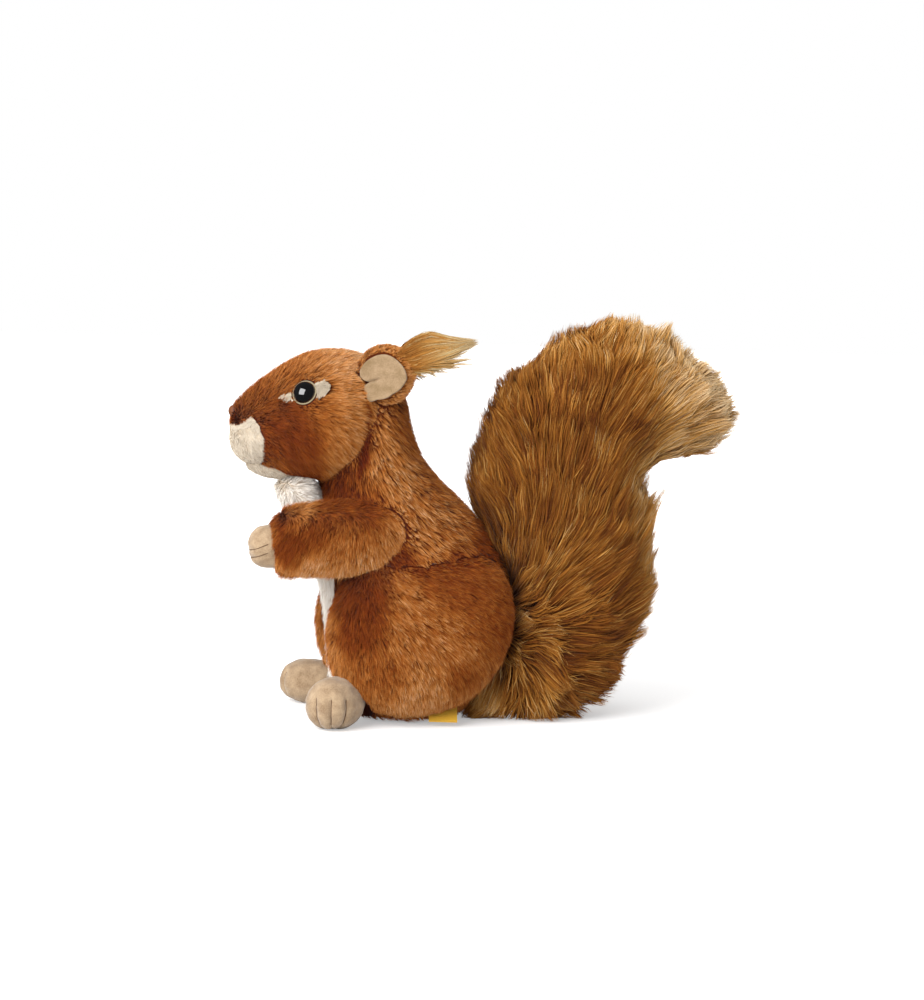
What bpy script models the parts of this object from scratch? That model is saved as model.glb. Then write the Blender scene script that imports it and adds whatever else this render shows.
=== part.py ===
"""Plush squirrel that sits up on its haunches, in metres, +Z up.

The face looks towards -Y, the tail stands towards +Y, and the animal's left side is +X.
The origin is on the floor, under the middle of the body.
Each stuffed unit is one solid: its cloth cover with the filling inside.
"""

import math

import bmesh
import bpy
import numpy as np
from mathutils import Matrix, Vector

# Clearance between pieces that touch, and how far a seam is sunk between two stuffed units
GAP = 0.0003

# Torso: trunk, shoulders and neck in one
TORSO_HEIGHT = 0.166
TORSO_DEPTH = 0.094
TORSO_WIDTH = 0.082
TORSO_BACK = 0.050
# Rows of height share, front share, back share and width share
TORSO_PROFILE = (
    (-0.03, 0.18, 0.68, 0.50),
    (0.07, 0.05, 0.86, 0.88),
    (0.28, 0.03, 1.00, 1.02),
    (0.46, 0.01, 0.985, 1.00),
    (0.58, -0.03, 0.86, 0.92),
    (0.68, -0.06, 0.68, 0.83),
    (0.79, -0.02, 0.45, 0.78),
    (0.96, 0.05, 0.41, 0.67),
    (1.03, 0.12, 0.33, 0.38),
)

# Head: from the tip of the snout to the back of the skull
HEAD_LENGTH = 0.086
HEAD_HEIGHT = 0.065
HEAD_WIDTH = 0.076
HEAD_FRONT = -0.0932
HEAD_BASE = 0.118
# Rows of length share, top share, bottom share and width share
HEAD_PROFILE = (
    (0.00, 0.52, 0.32, 0.24),
    (0.05, 0.62, 0.15, 0.46),
    (0.20, 0.79, 0.07, 0.66),
    (0.40, 0.97, 0.01, 0.90),
    (0.58, 1.005, 0.01, 1.00),
    (0.74, 0.985, 0.04, 0.80),
    (0.90, 0.87, 0.24, 0.56),
    (1.00, 0.68, 0.44, 0.28),
)

# Cream velour panels of the snout and throat
MUZZLE_LENGTH = 0.0285
MUZZLE_WIDTH = 0.0500
MUZZLE_HEIGHT = 0.0310
MUZZLE_RISE = 0.0055
MUZZLE_PROUD = 0.0010
CHIN_LENGTH = 0.026
CHIN_WIDTH = 0.026
CHIN_HEIGHT = 0.012
CHIN_SETBACK = 0.007
CHIN_TILT = math.radians(-12)
NOSE_WIDTH = 0.009
NOSE_HEIGHT = 0.006
NOSE_DEPTH = 0.005
NOSE_RISE = 0.033
NOSE_PROUD = 0.0010

# Safety eyes: a dome on a stem, a pale ring under it and a lock washer behind the cloth
EYE_DIAMETER = 0.0112
EYE_DOME_RISE = 0.0042
EYE_SETBACK = 0.0330
EYE_HEIGHT = 0.0450
EYE_STEM_DIAMETER = 0.003
EYE_STEM_LENGTH = 0.0095
EYE_RIM_DIAMETER = 0.0127
EYE_RIM_THICKNESS = 0.0008
WASHER_DIAMETER = 0.011
WASHER_THICKNESS = 0.0012
WASHER_DEPTH = 0.0062

# Ears: a rounded shell, a velour lining let into its face and a long tuft behind
EAR_WIDTH = 0.030
EAR_HEIGHT = 0.031
EAR_THICKNESS = 0.013
EAR_SETBACK = 0.0755
EAR_RISE = 0.0525
EAR_STAND_OFF = 0.0105
RIGHT_EAR_SET_BACK = 0.006
RIGHT_EAR_DROP = 0.004
EAR_TURN = math.radians(16)
EAR_TILT = math.radians(8)
LINING_WIDTH = 0.0245
LINING_HEIGHT = 0.0262
LINING_THICKNESS = 0.0032
LINING_SHIFT = -0.0025
LINING_DROP = -0.0010
TUFT_LENGTH = 0.040
TUFT_ROOT_HEIGHT = 0.016
TUFT_ROOT_WIDTH = 0.010
TUFT_RISE = math.radians(13)

TUFT_ROOT_SHIFT = 0.0066
TUFT_ROOT_RISE = 0.0068
TUFT_CURL = 0.10
# Rows of length share and girth share
TUFT_PROFILE = ((0.0, 0.62), (0.25, 0.98), (0.55, 0.86), (0.85, 0.34), (1.0, 0.08))
# Rows of girth share and depth share of the ear shells and linings
LENS_PROFILE = ((0.62, -0.5), (1.0, -0.22), (1.0, 0.22), (0.60, 0.5))
EAR_HOLLOW = 0.10
LINING_HOLLOW = 0.25
LINING_SUNK = 0.30

# Arms held out in front, with the right one drawn back a little
# Rows of length share and girth share
ARM_PROFILE = ((0.00, 0.55), (0.16, 0.94), (0.48, 1.06), (0.84, 1.0), (0.97, 0.84), (1.0, 0.5))
ARM_LENGTH = 0.076
ARM_HEIGHT = 0.037
ARM_WIDTH = 0.027
SHOULDER_X = 0.0235
SHOULDER_Y = 0.002
SHOULDER_Z = 0.0955
ELBOW_OUT = 0.0050
WRIST_X = 0.0235
WRIST_DROP = 0.005
RIGHT_ARM_SET_BACK = 0.012
RIGHT_ARM_DROP = 0.002
HAND_LENGTH = 0.0108
HAND_HEIGHT = 0.0215
HAND_WIDTH = 0.018
HAND_ROOT = 0.012
HAND_DROP = 0.0030
FINGER_GROOVE = 0.0008

# Haunches: broad rounded thighs, side by side
# Rows of width share and girth share
HAUNCH_PROFILE = ((0.0, 0.82), (0.07, 0.97), (0.45, 1.0), (0.82, 0.76), (1.0, 0.34))
HAUNCH_LENGTH = 0.094
HAUNCH_HEIGHT = 0.089
HAUNCH_OUTER_X = 0.048
HAUNCH_INNER_X = 0.0145
HAUNCH_CENTRE_Y = 0.0025
HAUNCH_CENTRE_Z = 0.0475
KNEE_BULGE = 0.0045
RUMP_HOLLOW = 0.006
HIP_RISE = 0.003
KNEE_ANGLE = math.radians(205)
HIP_ANGLE = math.radians(55)
RUMP_ANGLE = math.radians(318)
HAUNCH_SAG = 0.002

# Feet: long soft paws, the left one turned out further
FOOT_LENGTH = 0.044
FOOT_WIDTH = 0.026
FOOT_HEIGHT = 0.0245
LEFT_TOE = (0.0440, -0.0515)
LEFT_SPLAY = math.radians(48)
RIGHT_TOE = (0.036, -0.0615)
RIGHT_SPLAY = math.radians(20)
FOOT_SUNK = 0.0015
TOE_GROOVE = 0.0011
TOES = 4
# Rows of length share and girth share of hands and feet
PAW_PROFILE = ((0.0, 0.80), (0.50, 1.02), (0.86, 0.93), (0.985, 0.50))

# Chest bib: cream panel from the throat to the crotch
BIB_THICKNESS = 0.012
BIB_THROAT_THICKNESS = 0.020
BIB_LEAN = 0.3
# Rows of height share, front share, width and how far the throat's thickness applies
BIB_PROFILE = (
    (0.725, -0.285, 0.0216, 0.8),
    (0.70, -0.290, 0.0342, 1.0),
    (0.62, -0.215, 0.0360, 1.0),
    (0.50, -0.070, 0.0288, 0.3),
    (0.34, 0.005, 0.0220, 0.0),
    (0.10, 0.035, 0.0200, 0.0),
    (0.03, 0.085, 0.0133, 0.0),
)

# Tail: a thick brush that rises behind the back and turns over at the top
TAIL_WIDTH = 0.066
TAIL_REACH = 0.125
TAIL_HEIGHT = 0.200
TAIL_ROOT_Y = 0.036
# Rows of the inner edge's and the outer edge's reach and height shares, and the width share
TAIL_EDGES = (
    (0.00, 0.150, -0.02, -0.015, 0.36),
    (0.08, 0.230, 0.12, -0.015, 0.62),
    (0.085, 0.310, 0.30, -0.008, 0.86),
    (0.065, 0.370, 0.465, 0.055, 0.95),
    (0.04, 0.430, 0.585, 0.155, 1.00),
    (0.005, 0.490, 0.655, 0.270, 1.00),
    (-0.035, 0.550, 0.682, 0.395, 1.00),
    (-0.03, 0.625, 0.662, 0.510, 1.00),
    (0.00, 0.715, 0.64, 0.595, 0.98),
    (0.06, 0.810, 0.665, 0.635, 0.96),
    (0.19, 0.905, 0.71, 0.650, 0.93),
    (0.385, 0.975, 0.76, 0.658, 0.88),
    (0.585, 0.985, 0.81, 0.665, 0.80),
    (0.740, 0.940, 0.855, 0.680, 0.68),
    (0.845, 0.885, 0.905, 0.702, 0.54),
    (0.925, 0.835, 0.948, 0.735, 0.34),
    (0.965, 0.790, 0.970, 0.764, 0.12),
)
LOCK_DEPTH = 0.0065
LOCK_ROWS = 8
LOCKS_AROUND = 8
ROWS_PER_LOCK = 4
STEPS_PER_LOCK = 4

# Label: a folded woven tab in the seam at the base
LABEL_LENGTH = 0.014
LABEL_REACH = 0.0110
LABEL_THICKNESS = 0.0008
LABEL_Y = 0.0132
LABEL_X = 0.0250
LABEL_SUNK = 0.0025
LABEL_TILT = math.radians(32)
LABEL_TURN = math.radians(-8)

# Cage resolution
BODY_SIDES = 10
LIMB_SIDES = 8
EAR_SIDES = 8
SMALL_SIDES = 6
TURNED_STEPS = 12

COLOURS = {
    "brown pile": (0.300, 0.085, 0.022),
    "tail pile": (0.290, 0.095, 0.020),
    "golden pile": (0.430, 0.240, 0.075),
    "cream velour": (0.720, 0.630, 0.520),
    "beige velour": (0.560, 0.400, 0.255),
    "black plastic": (0.004, 0.004, 0.005),
    "pale felt": (0.560, 0.480, 0.360),
    "white plastic": (0.750, 0.750, 0.730),
    "brown thread": (0.060, 0.024, 0.012),
    "yellow weave": (0.520, 0.300, 0.030),
}


def clear_scene():
    for obj in list(bpy.data.objects):
        bpy.data.objects.remove(obj, do_unlink=True)


def make_collection(name):
    collection = bpy.data.collections.new(name)
    bpy.context.scene.collection.children.link(collection)
    return collection


def make_material(name, roughness):
    material = bpy.data.materials.new(name)
    material.use_nodes = True
    shader = material.node_tree.nodes["Principled BSDF"]
    shader.inputs["Base Color"].default_value = (*COLOURS[name], 1.0)
    shader.inputs["Roughness"].default_value = roughness
    shader.inputs["Metallic"].default_value = 0.0
    material.diffuse_color = (*COLOURS[name], 1.0)
    return material


def add_object(name, mesh, collection, material=None):
    obj = bpy.data.objects.new(name, mesh)
    collection.objects.link(obj)
    if material is not None:
        mesh.materials.append(material)
    return obj


def ring(centre, across, up, half_across, half_up, sides, power=2.0):
    """One closed ring: a superellipse on the two axes, grown so that the smoothed skin meets it."""
    turn = np.arange(sides) * 2 * np.pi / sides
    grow = 3.0 / (2.0 + math.cos(2 * math.pi / sides))
    cos, sin = np.cos(turn), np.sin(turn)
    x = np.sign(cos) * np.abs(cos) ** (2.0 / power) * half_across * grow
    y = np.sign(sin) * np.abs(sin) ** (2.0 / power) * half_up * grow
    return np.asarray(centre) + x[:, None] * np.asarray(across) + y[:, None] * np.asarray(up)


def loft(name, rings, collection, material=None):
    """A closed cage: quads between neighbouring rings and one face on each end."""
    points = np.concatenate(rings)
    sides = len(rings[0])
    first = np.arange(sides)
    after = np.roll(first, -1)
    faces = [tuple(first), tuple(first + sides * (len(rings) - 1))]
    for row in range(len(rings) - 1):
        low, high = row * sides, (row + 1) * sides
        band = np.stack([first + low, after + low, after + high, first + high], axis=1)
        faces.extend(map(tuple, band))
    mesh = bpy.data.meshes.new(name)
    mesh.from_pydata(points.tolist(), [], [tuple(int(i) for i in face) for face in faces])
    face_outwards(mesh)
    return add_object(name, mesh, collection, material)


def face_outwards(mesh):
    work = bmesh.new()
    work.from_mesh(mesh)
    bmesh.ops.recalc_face_normals(work, faces=work.faces)
    if work.calc_volume(signed=True) < 0:
        bmesh.ops.reverse_faces(work, faces=work.faces)
    work.to_mesh(mesh)
    work.free()
    mesh.shade_smooth()


def smooth(obj, levels):
    modifier = obj.modifiers.new("Smooth", "SUBSURF")
    modifier.levels = levels
    modifier.render_levels = levels


def inflated(obj, cutters, gap=GAP):
    """A hidden copy of a piece, grown by the clearance, to cut its neighbours with."""
    copy = bpy.data.objects.new("cut_" + obj.name, obj.data)
    cutters.objects.link(copy)
    copy.matrix_world = obj.matrix_world
    for modifier in obj.modifiers:
        if modifier.type == "SUBSURF":
            smooth(copy, modifier.levels)
    grow = copy.modifiers.new("Grow", "DISPLACE")
    grow.strength = gap
    grow.mid_level = 0.0
    hide(copy)
    return copy


def hide(obj):
    obj.hide_render = True
    obj.display_type = "WIRE"


def cut(obj, cutter):
    modifier = obj.modifiers.new("Cut " + cutter.name, "BOOLEAN")
    modifier.operation = "DIFFERENCE"
    modifier.object = cutter


def seat(obj, start, direction):
    """Where a straight line from start first meets a piece, and the surface's direction there."""
    depsgraph = bpy.context.evaluated_depsgraph_get()
    hit, place, normal, _ = obj.evaluated_get(depsgraph).ray_cast(Vector(start), Vector(direction))
    if not hit:
        raise ValueError("nothing to seat on: " + obj.name)
    return place, normal


def spline(rows, share):
    """Catmull-Rom curve through the rows, read at shares of its length from 0 to 1."""
    rows = np.asarray(rows, dtype=float)
    padded = np.vstack([2 * rows[0] - rows[1], rows, 2 * rows[-1] - rows[-2]])
    place = np.asarray(share) * (len(rows) - 1)
    row = np.minimum(place.astype(int), len(rows) - 2)
    part = (place - row)[:, None]
    before, start, end, after = (padded[row + k] for k in range(4))
    bend = 2 * before - 5 * start + 4 * end - after
    twist = 3 * start - before - 3 * end + after
    return start + 0.5 * part * ((end - before) + part * (bend + part * twist))


def make_torso(parts, material):
    rings = []
    front = TORSO_BACK - TORSO_DEPTH
    for height, fore, aft, width in TORSO_PROFILE:
        near, far = front + fore * TORSO_DEPTH, front + aft * TORSO_DEPTH
        centre = (0.0, (near + far) / 2, height * TORSO_HEIGHT)
        rings.append(ring(centre, (1, 0, 0), (0, 1, 0), width * TORSO_WIDTH / 2, (far - near) / 2,
                          BODY_SIDES, 2.2))
    obj = loft("torso", rings, parts, material)
    smooth(obj, 1)
    return obj


def make_head(parts, material):
    rings = []
    for length, top, bottom, width in HEAD_PROFILE:
        centre = (0.0, HEAD_FRONT + length * HEAD_LENGTH, HEAD_BASE + (top + bottom) / 2 * HEAD_HEIGHT)
        rings.append(ring(centre, (1, 0, 0), (0, 0, 1), width * HEAD_WIDTH / 2,
                          (top - bottom) / 2 * HEAD_HEIGHT, BODY_SIDES, 2.15))
    obj = loft("head", rings, parts, material)
    smooth(obj, 1)
    return obj


def pad(name, centre, size, tilt, parts, material, sides=SMALL_SIDES):
    """A small rounded pad: rings along Y that follow an ellipse, tilted about X."""
    turn = Matrix.Rotation(tilt, 3, "X")
    along, up = np.array(turn @ Vector((0, 1, 0))), np.array(turn @ Vector((0, 0, 1)))
    rings = []
    for angle in np.radians((-72, -38, 0, 38, 72)):
        middle = np.asarray(centre) + along * size[1] / 2 * math.sin(angle)
        wide, high = size[0] / 2 * math.cos(angle), size[2] / 2 * math.cos(angle)
        rings.append(ring(middle, (1, 0, 0), up, wide, high, sides))
    obj = loft(name, rings, parts, material)
    smooth(obj, 1)
    return obj


def make_snout(parts, cream, thread):
    """Muzzle, chin and nose, each let into the front of the head."""
    muzzle_y = HEAD_FRONT + MUZZLE_LENGTH / 2 - MUZZLE_PROUD
    muzzle_z = HEAD_BASE + MUZZLE_RISE + MUZZLE_HEIGHT / 2
    size = (MUZZLE_WIDTH, MUZZLE_LENGTH, MUZZLE_HEIGHT)
    muzzle = pad("muzzle", (0, muzzle_y, muzzle_z), size, 0.0, parts, cream, EAR_SIDES)
    chin_y = HEAD_FRONT + CHIN_SETBACK + CHIN_LENGTH / 2
    chin_z = HEAD_BASE + CHIN_HEIGHT / 2
    size = (CHIN_WIDTH, CHIN_LENGTH, CHIN_HEIGHT)
    chin = pad("chin", (0, chin_y, chin_z), size, CHIN_TILT, parts, cream)
    nose_place = (0, HEAD_FRONT + NOSE_DEPTH / 2 - NOSE_PROUD, HEAD_BASE + NOSE_RISE)
    size = (NOSE_WIDTH, NOSE_DEPTH, NOSE_HEIGHT)
    nose = pad("nose", nose_place, size, 0.0, parts, thread)
    return muzzle, chin, nose


def turned(name, profile, closed, collection, material=None):
    """A turned piece: a profile of radius and height carried round the Z axis."""
    mesh = bpy.data.meshes.new(name)
    points = [(radius, 0.0, height) for radius, height in profile]
    edges = [(i, i + 1) for i in range(len(points) - 1)]
    if closed:
        edges.append((len(points) - 1, 0))
    mesh.from_pydata(points, edges, [])
    obj = add_object(name, mesh, collection, material)
    screw = obj.modifiers.new("Turn", "SCREW")
    screw.steps = TURNED_STEPS
    screw.render_steps = TURNED_STEPS
    screw.use_merge_vertices = True
    screw.merge_threshold = 0.00001
    screw.use_smooth_shade = True
    return obj


def dome_profile():
    """Outer side of the eye from the crown down, then the stem to its end."""
    angles = np.radians((90, 68, 46, 24, 2))
    radius = EYE_DIAMETER / 2
    stem = EYE_STEM_DIAMETER / 2
    rows = [(radius * math.cos(a), EYE_DOME_RISE * math.sin(a)) for a in angles[1:]]
    rows = [(0.0, EYE_DOME_RISE)] + rows
    return rows + [(stem, 0.0), (stem, -EYE_STEM_LENGTH), (0.0, -EYE_STEM_LENGTH)]


def socket_profile():
    """The room for an eye in the head: recess for the ring, stem hole and washer pocket."""
    recess = EYE_RIM_DIAMETER / 2 + GAP
    hole = EYE_STEM_DIAMETER / 2 + GAP
    pocket = WASHER_DIAMETER / 2 + GAP
    floor = -EYE_RIM_THICKNESS - 2 * GAP
    end = -EYE_STEM_LENGTH - GAP
    roof, base = -WASHER_DEPTH + GAP, -WASHER_DEPTH - WASHER_THICKNESS - GAP
    rows = [(0.0, 2 * EYE_DOME_RISE), (recess, 2 * EYE_DOME_RISE), (recess, floor), (hole, floor)]
    rows += [(hole, roof), (pocket, roof), (pocket, base), (hole, base), (hole, end), (0.0, end)]
    return rows


def washer_profile(outer, top, thickness):
    inner = EYE_STEM_DIAMETER / 2 + GAP
    return [(inner, top), (outer, top), (outer, top - thickness), (inner, top - thickness)]


def make_eye(side, suffix, head, parts, cutters, materials):
    """Eye, ring and washer on one axis, square to the side of the head."""
    start = (side * HEAD_WIDTH, HEAD_FRONT + EYE_SETBACK, HEAD_BASE + EYE_HEIGHT)
    place, normal = seat(head, start, (-side, 0, 0))
    matrix = Matrix.Translation(place) @ normal.to_track_quat("Z", "Y").to_matrix().to_4x4()
    eye = turned("eye_" + suffix, dome_profile(), False, parts, materials["black plastic"])
    rim_rows = washer_profile(EYE_RIM_DIAMETER / 2, -GAP, EYE_RIM_THICKNESS)
    rim = turned("eye_rim_" + suffix, rim_rows, True, parts, materials["pale felt"])
    washer_rows = washer_profile(WASHER_DIAMETER / 2, -WASHER_DEPTH, WASHER_THICKNESS)
    washer = turned("eye_washer_" + suffix, washer_rows, True, parts, materials["white plastic"])
    socket = turned("cut_eye_socket_" + suffix, socket_profile(), False, cutters)
    for obj in (eye, rim, washer, socket):
        obj.matrix_world = matrix
    hide(socket)
    cut(head, socket)


def ear_axes(side):
    """Directions of the ear's face, its width and its height."""
    turn = Matrix.Rotation(-side * EAR_TURN, 3, "Z") @ Matrix.Rotation(-side * EAR_TILT, 3, "Y")
    face = np.array(turn @ Vector((side, 0, 0)))
    wide = np.array(turn @ Vector((0, 1, 0)))
    high = np.array(turn @ Vector((0, 0, 1)))
    return face, wide, high


def lens(name, centre, axes, size, thickness, hollow, parts, material):
    """A rounded lens on an ear's axes; hollow draws the middle of its face inwards."""
    face, wide, high = axes
    rings = []
    for share, depth in LENS_PROFILE:
        drawn_in = hollow if depth == LENS_PROFILE[-1][1] else 0.0
        middle = np.asarray(centre) + face * (depth - drawn_in) * thickness
        rings.append(ring(middle, wide, high, share * size[0] / 2, share * size[1] / 2,
                          EAR_SIDES))
    obj = loft(name, rings, parts, material)
    smooth(obj, 1)
    return obj


def make_ear(side, suffix, shift, head, parts, materials):
    start = (side * HEAD_WIDTH, HEAD_FRONT + EAR_SETBACK, HEAD_BASE + EAR_RISE)
    place, _ = seat(head, start, (-side, 0, 0))
    place = place + Vector(shift)
    axes = ear_axes(side)
    face, wide, high = axes
    centre = np.array(place) + face * EAR_STAND_OFF
    ear = lens("ear_" + suffix, centre, axes, (EAR_WIDTH, EAR_HEIGHT), EAR_THICKNESS, EAR_HOLLOW,
               parts, materials["brown pile"])
    seat_depth = EAR_THICKNESS / 2 - LINING_THICKNESS * LINING_SUNK
    middle = centre + face * seat_depth + wide * LINING_SHIFT + high * LINING_DROP
    lining = lens("ear_lining_" + suffix, middle, axes, (LINING_WIDTH, LINING_HEIGHT),
                  LINING_THICKNESS, LINING_HOLLOW, parts, materials["beige velour"])
    root = centre + wide * TUFT_ROOT_SHIFT + high * TUFT_ROOT_RISE
    along = wide * math.cos(TUFT_RISE) + high * math.sin(TUFT_RISE)
    lift = high * math.cos(TUFT_RISE) - wide * math.sin(TUFT_RISE)
    rings = []
    for share, girth in TUFT_PROFILE:
        middle = root + (along * share + lift * TUFT_CURL * share ** 2) * TUFT_LENGTH
        rings.append(ring(middle, face, lift, girth * TUFT_ROOT_WIDTH / 2,
                          girth * TUFT_ROOT_HEIGHT / 2, SMALL_SIDES))
    tuft = loft("ear_tuft_" + suffix, rings, parts, materials["golden pile"])
    smooth(tuft, 1)
    return ear, lining, tuft


def make_arm(side, suffix, set_back, drop, parts, materials):
    """A fat sleeve from inside the shoulder to the wrist, and the hand in its end."""
    rings = []
    for share, girth in ARM_PROFILE:
        x = SHOULDER_X + (WRIST_X - SHOULDER_X) * share + ELBOW_OUT * math.sin(math.pi * share)
        y = SHOULDER_Y + set_back - share * ARM_LENGTH
        z = SHOULDER_Z - (WRIST_DROP + drop) * share
        rings.append(ring((side * x, y, z), (1, 0, 0), (0, 0, 1), girth * ARM_WIDTH / 2,
                          girth * ARM_HEIGHT / 2, LIMB_SIDES))
    arm = loft("arm_" + suffix, rings, parts, materials["brown pile"])
    smooth(arm, 1)
    wrist_y = SHOULDER_Y + set_back - ARM_LENGTH
    hand = make_paw("hand_" + suffix, (side * WRIST_X, wrist_y - HAND_LENGTH,
                                       SHOULDER_Z - WRIST_DROP - drop - HAND_DROP),
                    0.0, (HAND_WIDTH, HAND_ROOT + HAND_LENGTH, HAND_HEIGHT),
                    FINGER_GROOVE, parts, materials["beige velour"])
    return arm, hand


def make_paw(name, tip, splay, size, groove, parts, material):
    """A soft paw from its root to its toes, with the stitched grooves between the toes."""
    width, length, height = size
    forward = np.array((math.sin(splay), -math.cos(splay), 0.0))
    across = np.array((math.cos(splay), math.sin(splay), 0.0))
    up = np.array((0.0, 0.0, 1.0))
    sides = 3 * TOES
    turn = np.arange(sides) * 2 * np.pi / sides
    rings = []
    for share, girth in PAW_PROFILE:
        middle = np.asarray(tip) - forward * length * (1.0 - share)
        outline = ring(middle, across, up, girth * width / 2, girth * height / 2, sides)
        depth = groove * max(0.0, min(1.0, (share - 0.35) / 0.3))
        between = np.cos(turn * TOES) * 0.5 + 0.5
        inward = middle - outline
        inward /= np.linalg.norm(inward, axis=1)[:, None]
        rings.append(outline + inward * (between * depth)[:, None])
    obj = loft(name, rings, parts, material)
    smooth(obj, 1)
    return obj


def make_haunch(side, suffix, parts, material):
    """A broad thigh: rings stacked along X, fuller at the knee and hip and hollow at the rump."""
    rings = []
    sides = BODY_SIDES + 2
    turn = np.arange(sides) * 2 * np.pi / sides
    form = KNEE_BULGE * np.clip(np.cos(turn - KNEE_ANGLE), 0, 1) ** 3
    form += HIP_RISE * np.clip(np.cos(turn - HIP_ANGLE), 0, 1) ** 3
    form -= RUMP_HOLLOW * np.clip(np.cos(turn - RUMP_ANGLE), 0, 1) ** 3
    reach = HAUNCH_OUTER_X - HAUNCH_INNER_X
    for share, girth in HAUNCH_PROFILE:
        middle = np.array((side * (HAUNCH_INNER_X + share * reach), HAUNCH_CENTRE_Y,
                           HAUNCH_CENTRE_Z - HAUNCH_SAG * share))
        outline = ring(middle, (0, 1, 0), (0, 0, 1), girth * HAUNCH_LENGTH / 2,
                       girth * HAUNCH_HEIGHT / 2, sides, 2.25)
        outward = (outline - middle) / np.linalg.norm(outline - middle, axis=1)[:, None]
        rings.append(outline + outward * (form * girth)[:, None])
    obj = loft("haunch_" + suffix, rings, parts, material)
    smooth(obj, 1)
    return obj


def make_bib(parts, material):
    """The cream panel down the front of the torso."""
    rings = []
    front = TORSO_BACK - TORSO_DEPTH
    through = (0, math.sqrt(1 - BIB_LEAN ** 2), BIB_LEAN)
    for height, fore, width, throat in BIB_PROFILE:
        thickness = BIB_THICKNESS + throat * (BIB_THROAT_THICKNESS - BIB_THICKNESS)
        centre = (0, front + fore * TORSO_DEPTH + thickness / 2, height * TORSO_HEIGHT)
        rings.append(ring(centre, (1, 0, 0), through, width / 2, thickness / 2, SMALL_SIDES))
    obj = loft("chest_bib", rings, parts, material)
    smooth(obj, 1)
    return obj


def make_tail(parts, material):
    """The brush: ellipses between its inner and outer edge, with rows of overlapping locks."""
    rows = LOCK_ROWS * ROWS_PER_LOCK + 1
    around = LOCKS_AROUND * STEPS_PER_LOCK
    share = np.linspace(0, 1, rows)
    edges = spline(TAIL_EDGES, share)
    flat = np.zeros(rows)
    inner = np.stack([flat, TAIL_ROOT_Y + edges[:, 0] * TAIL_REACH, edges[:, 1] * TAIL_HEIGHT], axis=1)
    outer = np.stack([flat, TAIL_ROOT_Y + edges[:, 2] * TAIL_REACH, edges[:, 3] * TAIL_HEIGHT], axis=1)
    centre = (inner + outer) / 2
    half = np.linalg.norm(inner - outer, axis=1)[:, None] / 2
    up = (inner - outer) / (2 * half)
    across = np.array((1.0, 0.0, 0.0))
    turn = np.arange(around) * 2 * np.pi / around
    lock_row = np.arange(rows)[:, None] / ROWS_PER_LOCK
    column = np.arange(around)[None, :] / STEPS_PER_LOCK
    rise = (lock_row + 0.5 * (np.floor(column) % 2)) % 1.0
    crown = 0.5 - 0.5 * np.cos(2 * np.pi * (column % 1.0))
    relief = LOCK_DEPTH * (rise * (0.3 + 0.7 * crown) - 0.45)
    relief *= np.minimum(1.0, np.minimum(share / 0.08, (1 - share) / 0.06))[:, None]
    thick = half + relief
    wide = edges[:, 4:5] * TAIL_WIDTH / 2 + relief
    skin = (centre[:, None] + (wide * np.cos(turn))[..., None] * across
            + (thick * np.sin(turn))[..., None] * up[:, None])
    return loft("tail", list(skin), parts, material)


def make_label(haunch, parts, material):
    """The tab: its inner edge is sunk in the underside of the left haunch."""
    place, _ = seat(haunch, (LABEL_X, LABEL_Y, -0.05), (0, 0, 1))
    bpy.ops.mesh.primitive_cube_add(size=1)
    label = bpy.context.active_object
    label.name = "label"
    label.data.name = "label"
    for collection in list(label.users_collection):
        collection.objects.unlink(label)
    parts.objects.link(label)
    label.data.transform(Matrix.Diagonal((LABEL_REACH, LABEL_LENGTH, LABEL_THICKNESS, 1)))
    label.data.transform(Matrix.Translation((LABEL_REACH / 2 - LABEL_SUNK, 0, 0)))
    label.location = place
    label.rotation_euler = (0, LABEL_TILT, LABEL_TURN)
    label.data.materials.append(material)
    return label


def make_floor_cutter(cutters):
    """Everything under the floor plane, so that the toy rests on flat patches."""
    depth = 0.1
    bpy.ops.mesh.primitive_cube_add(size=1)
    floor = bpy.context.active_object
    floor.name = "cut_floor"
    for collection in list(floor.users_collection):
        collection.objects.unlink(floor)
    cutters.objects.link(floor)
    floor.data.transform(Matrix.Translation((0, 0, -0.5)))
    floor.data.transform(Matrix.Diagonal((1.0, 1.0, depth, 1)))
    hide(floor)
    return floor


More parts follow.
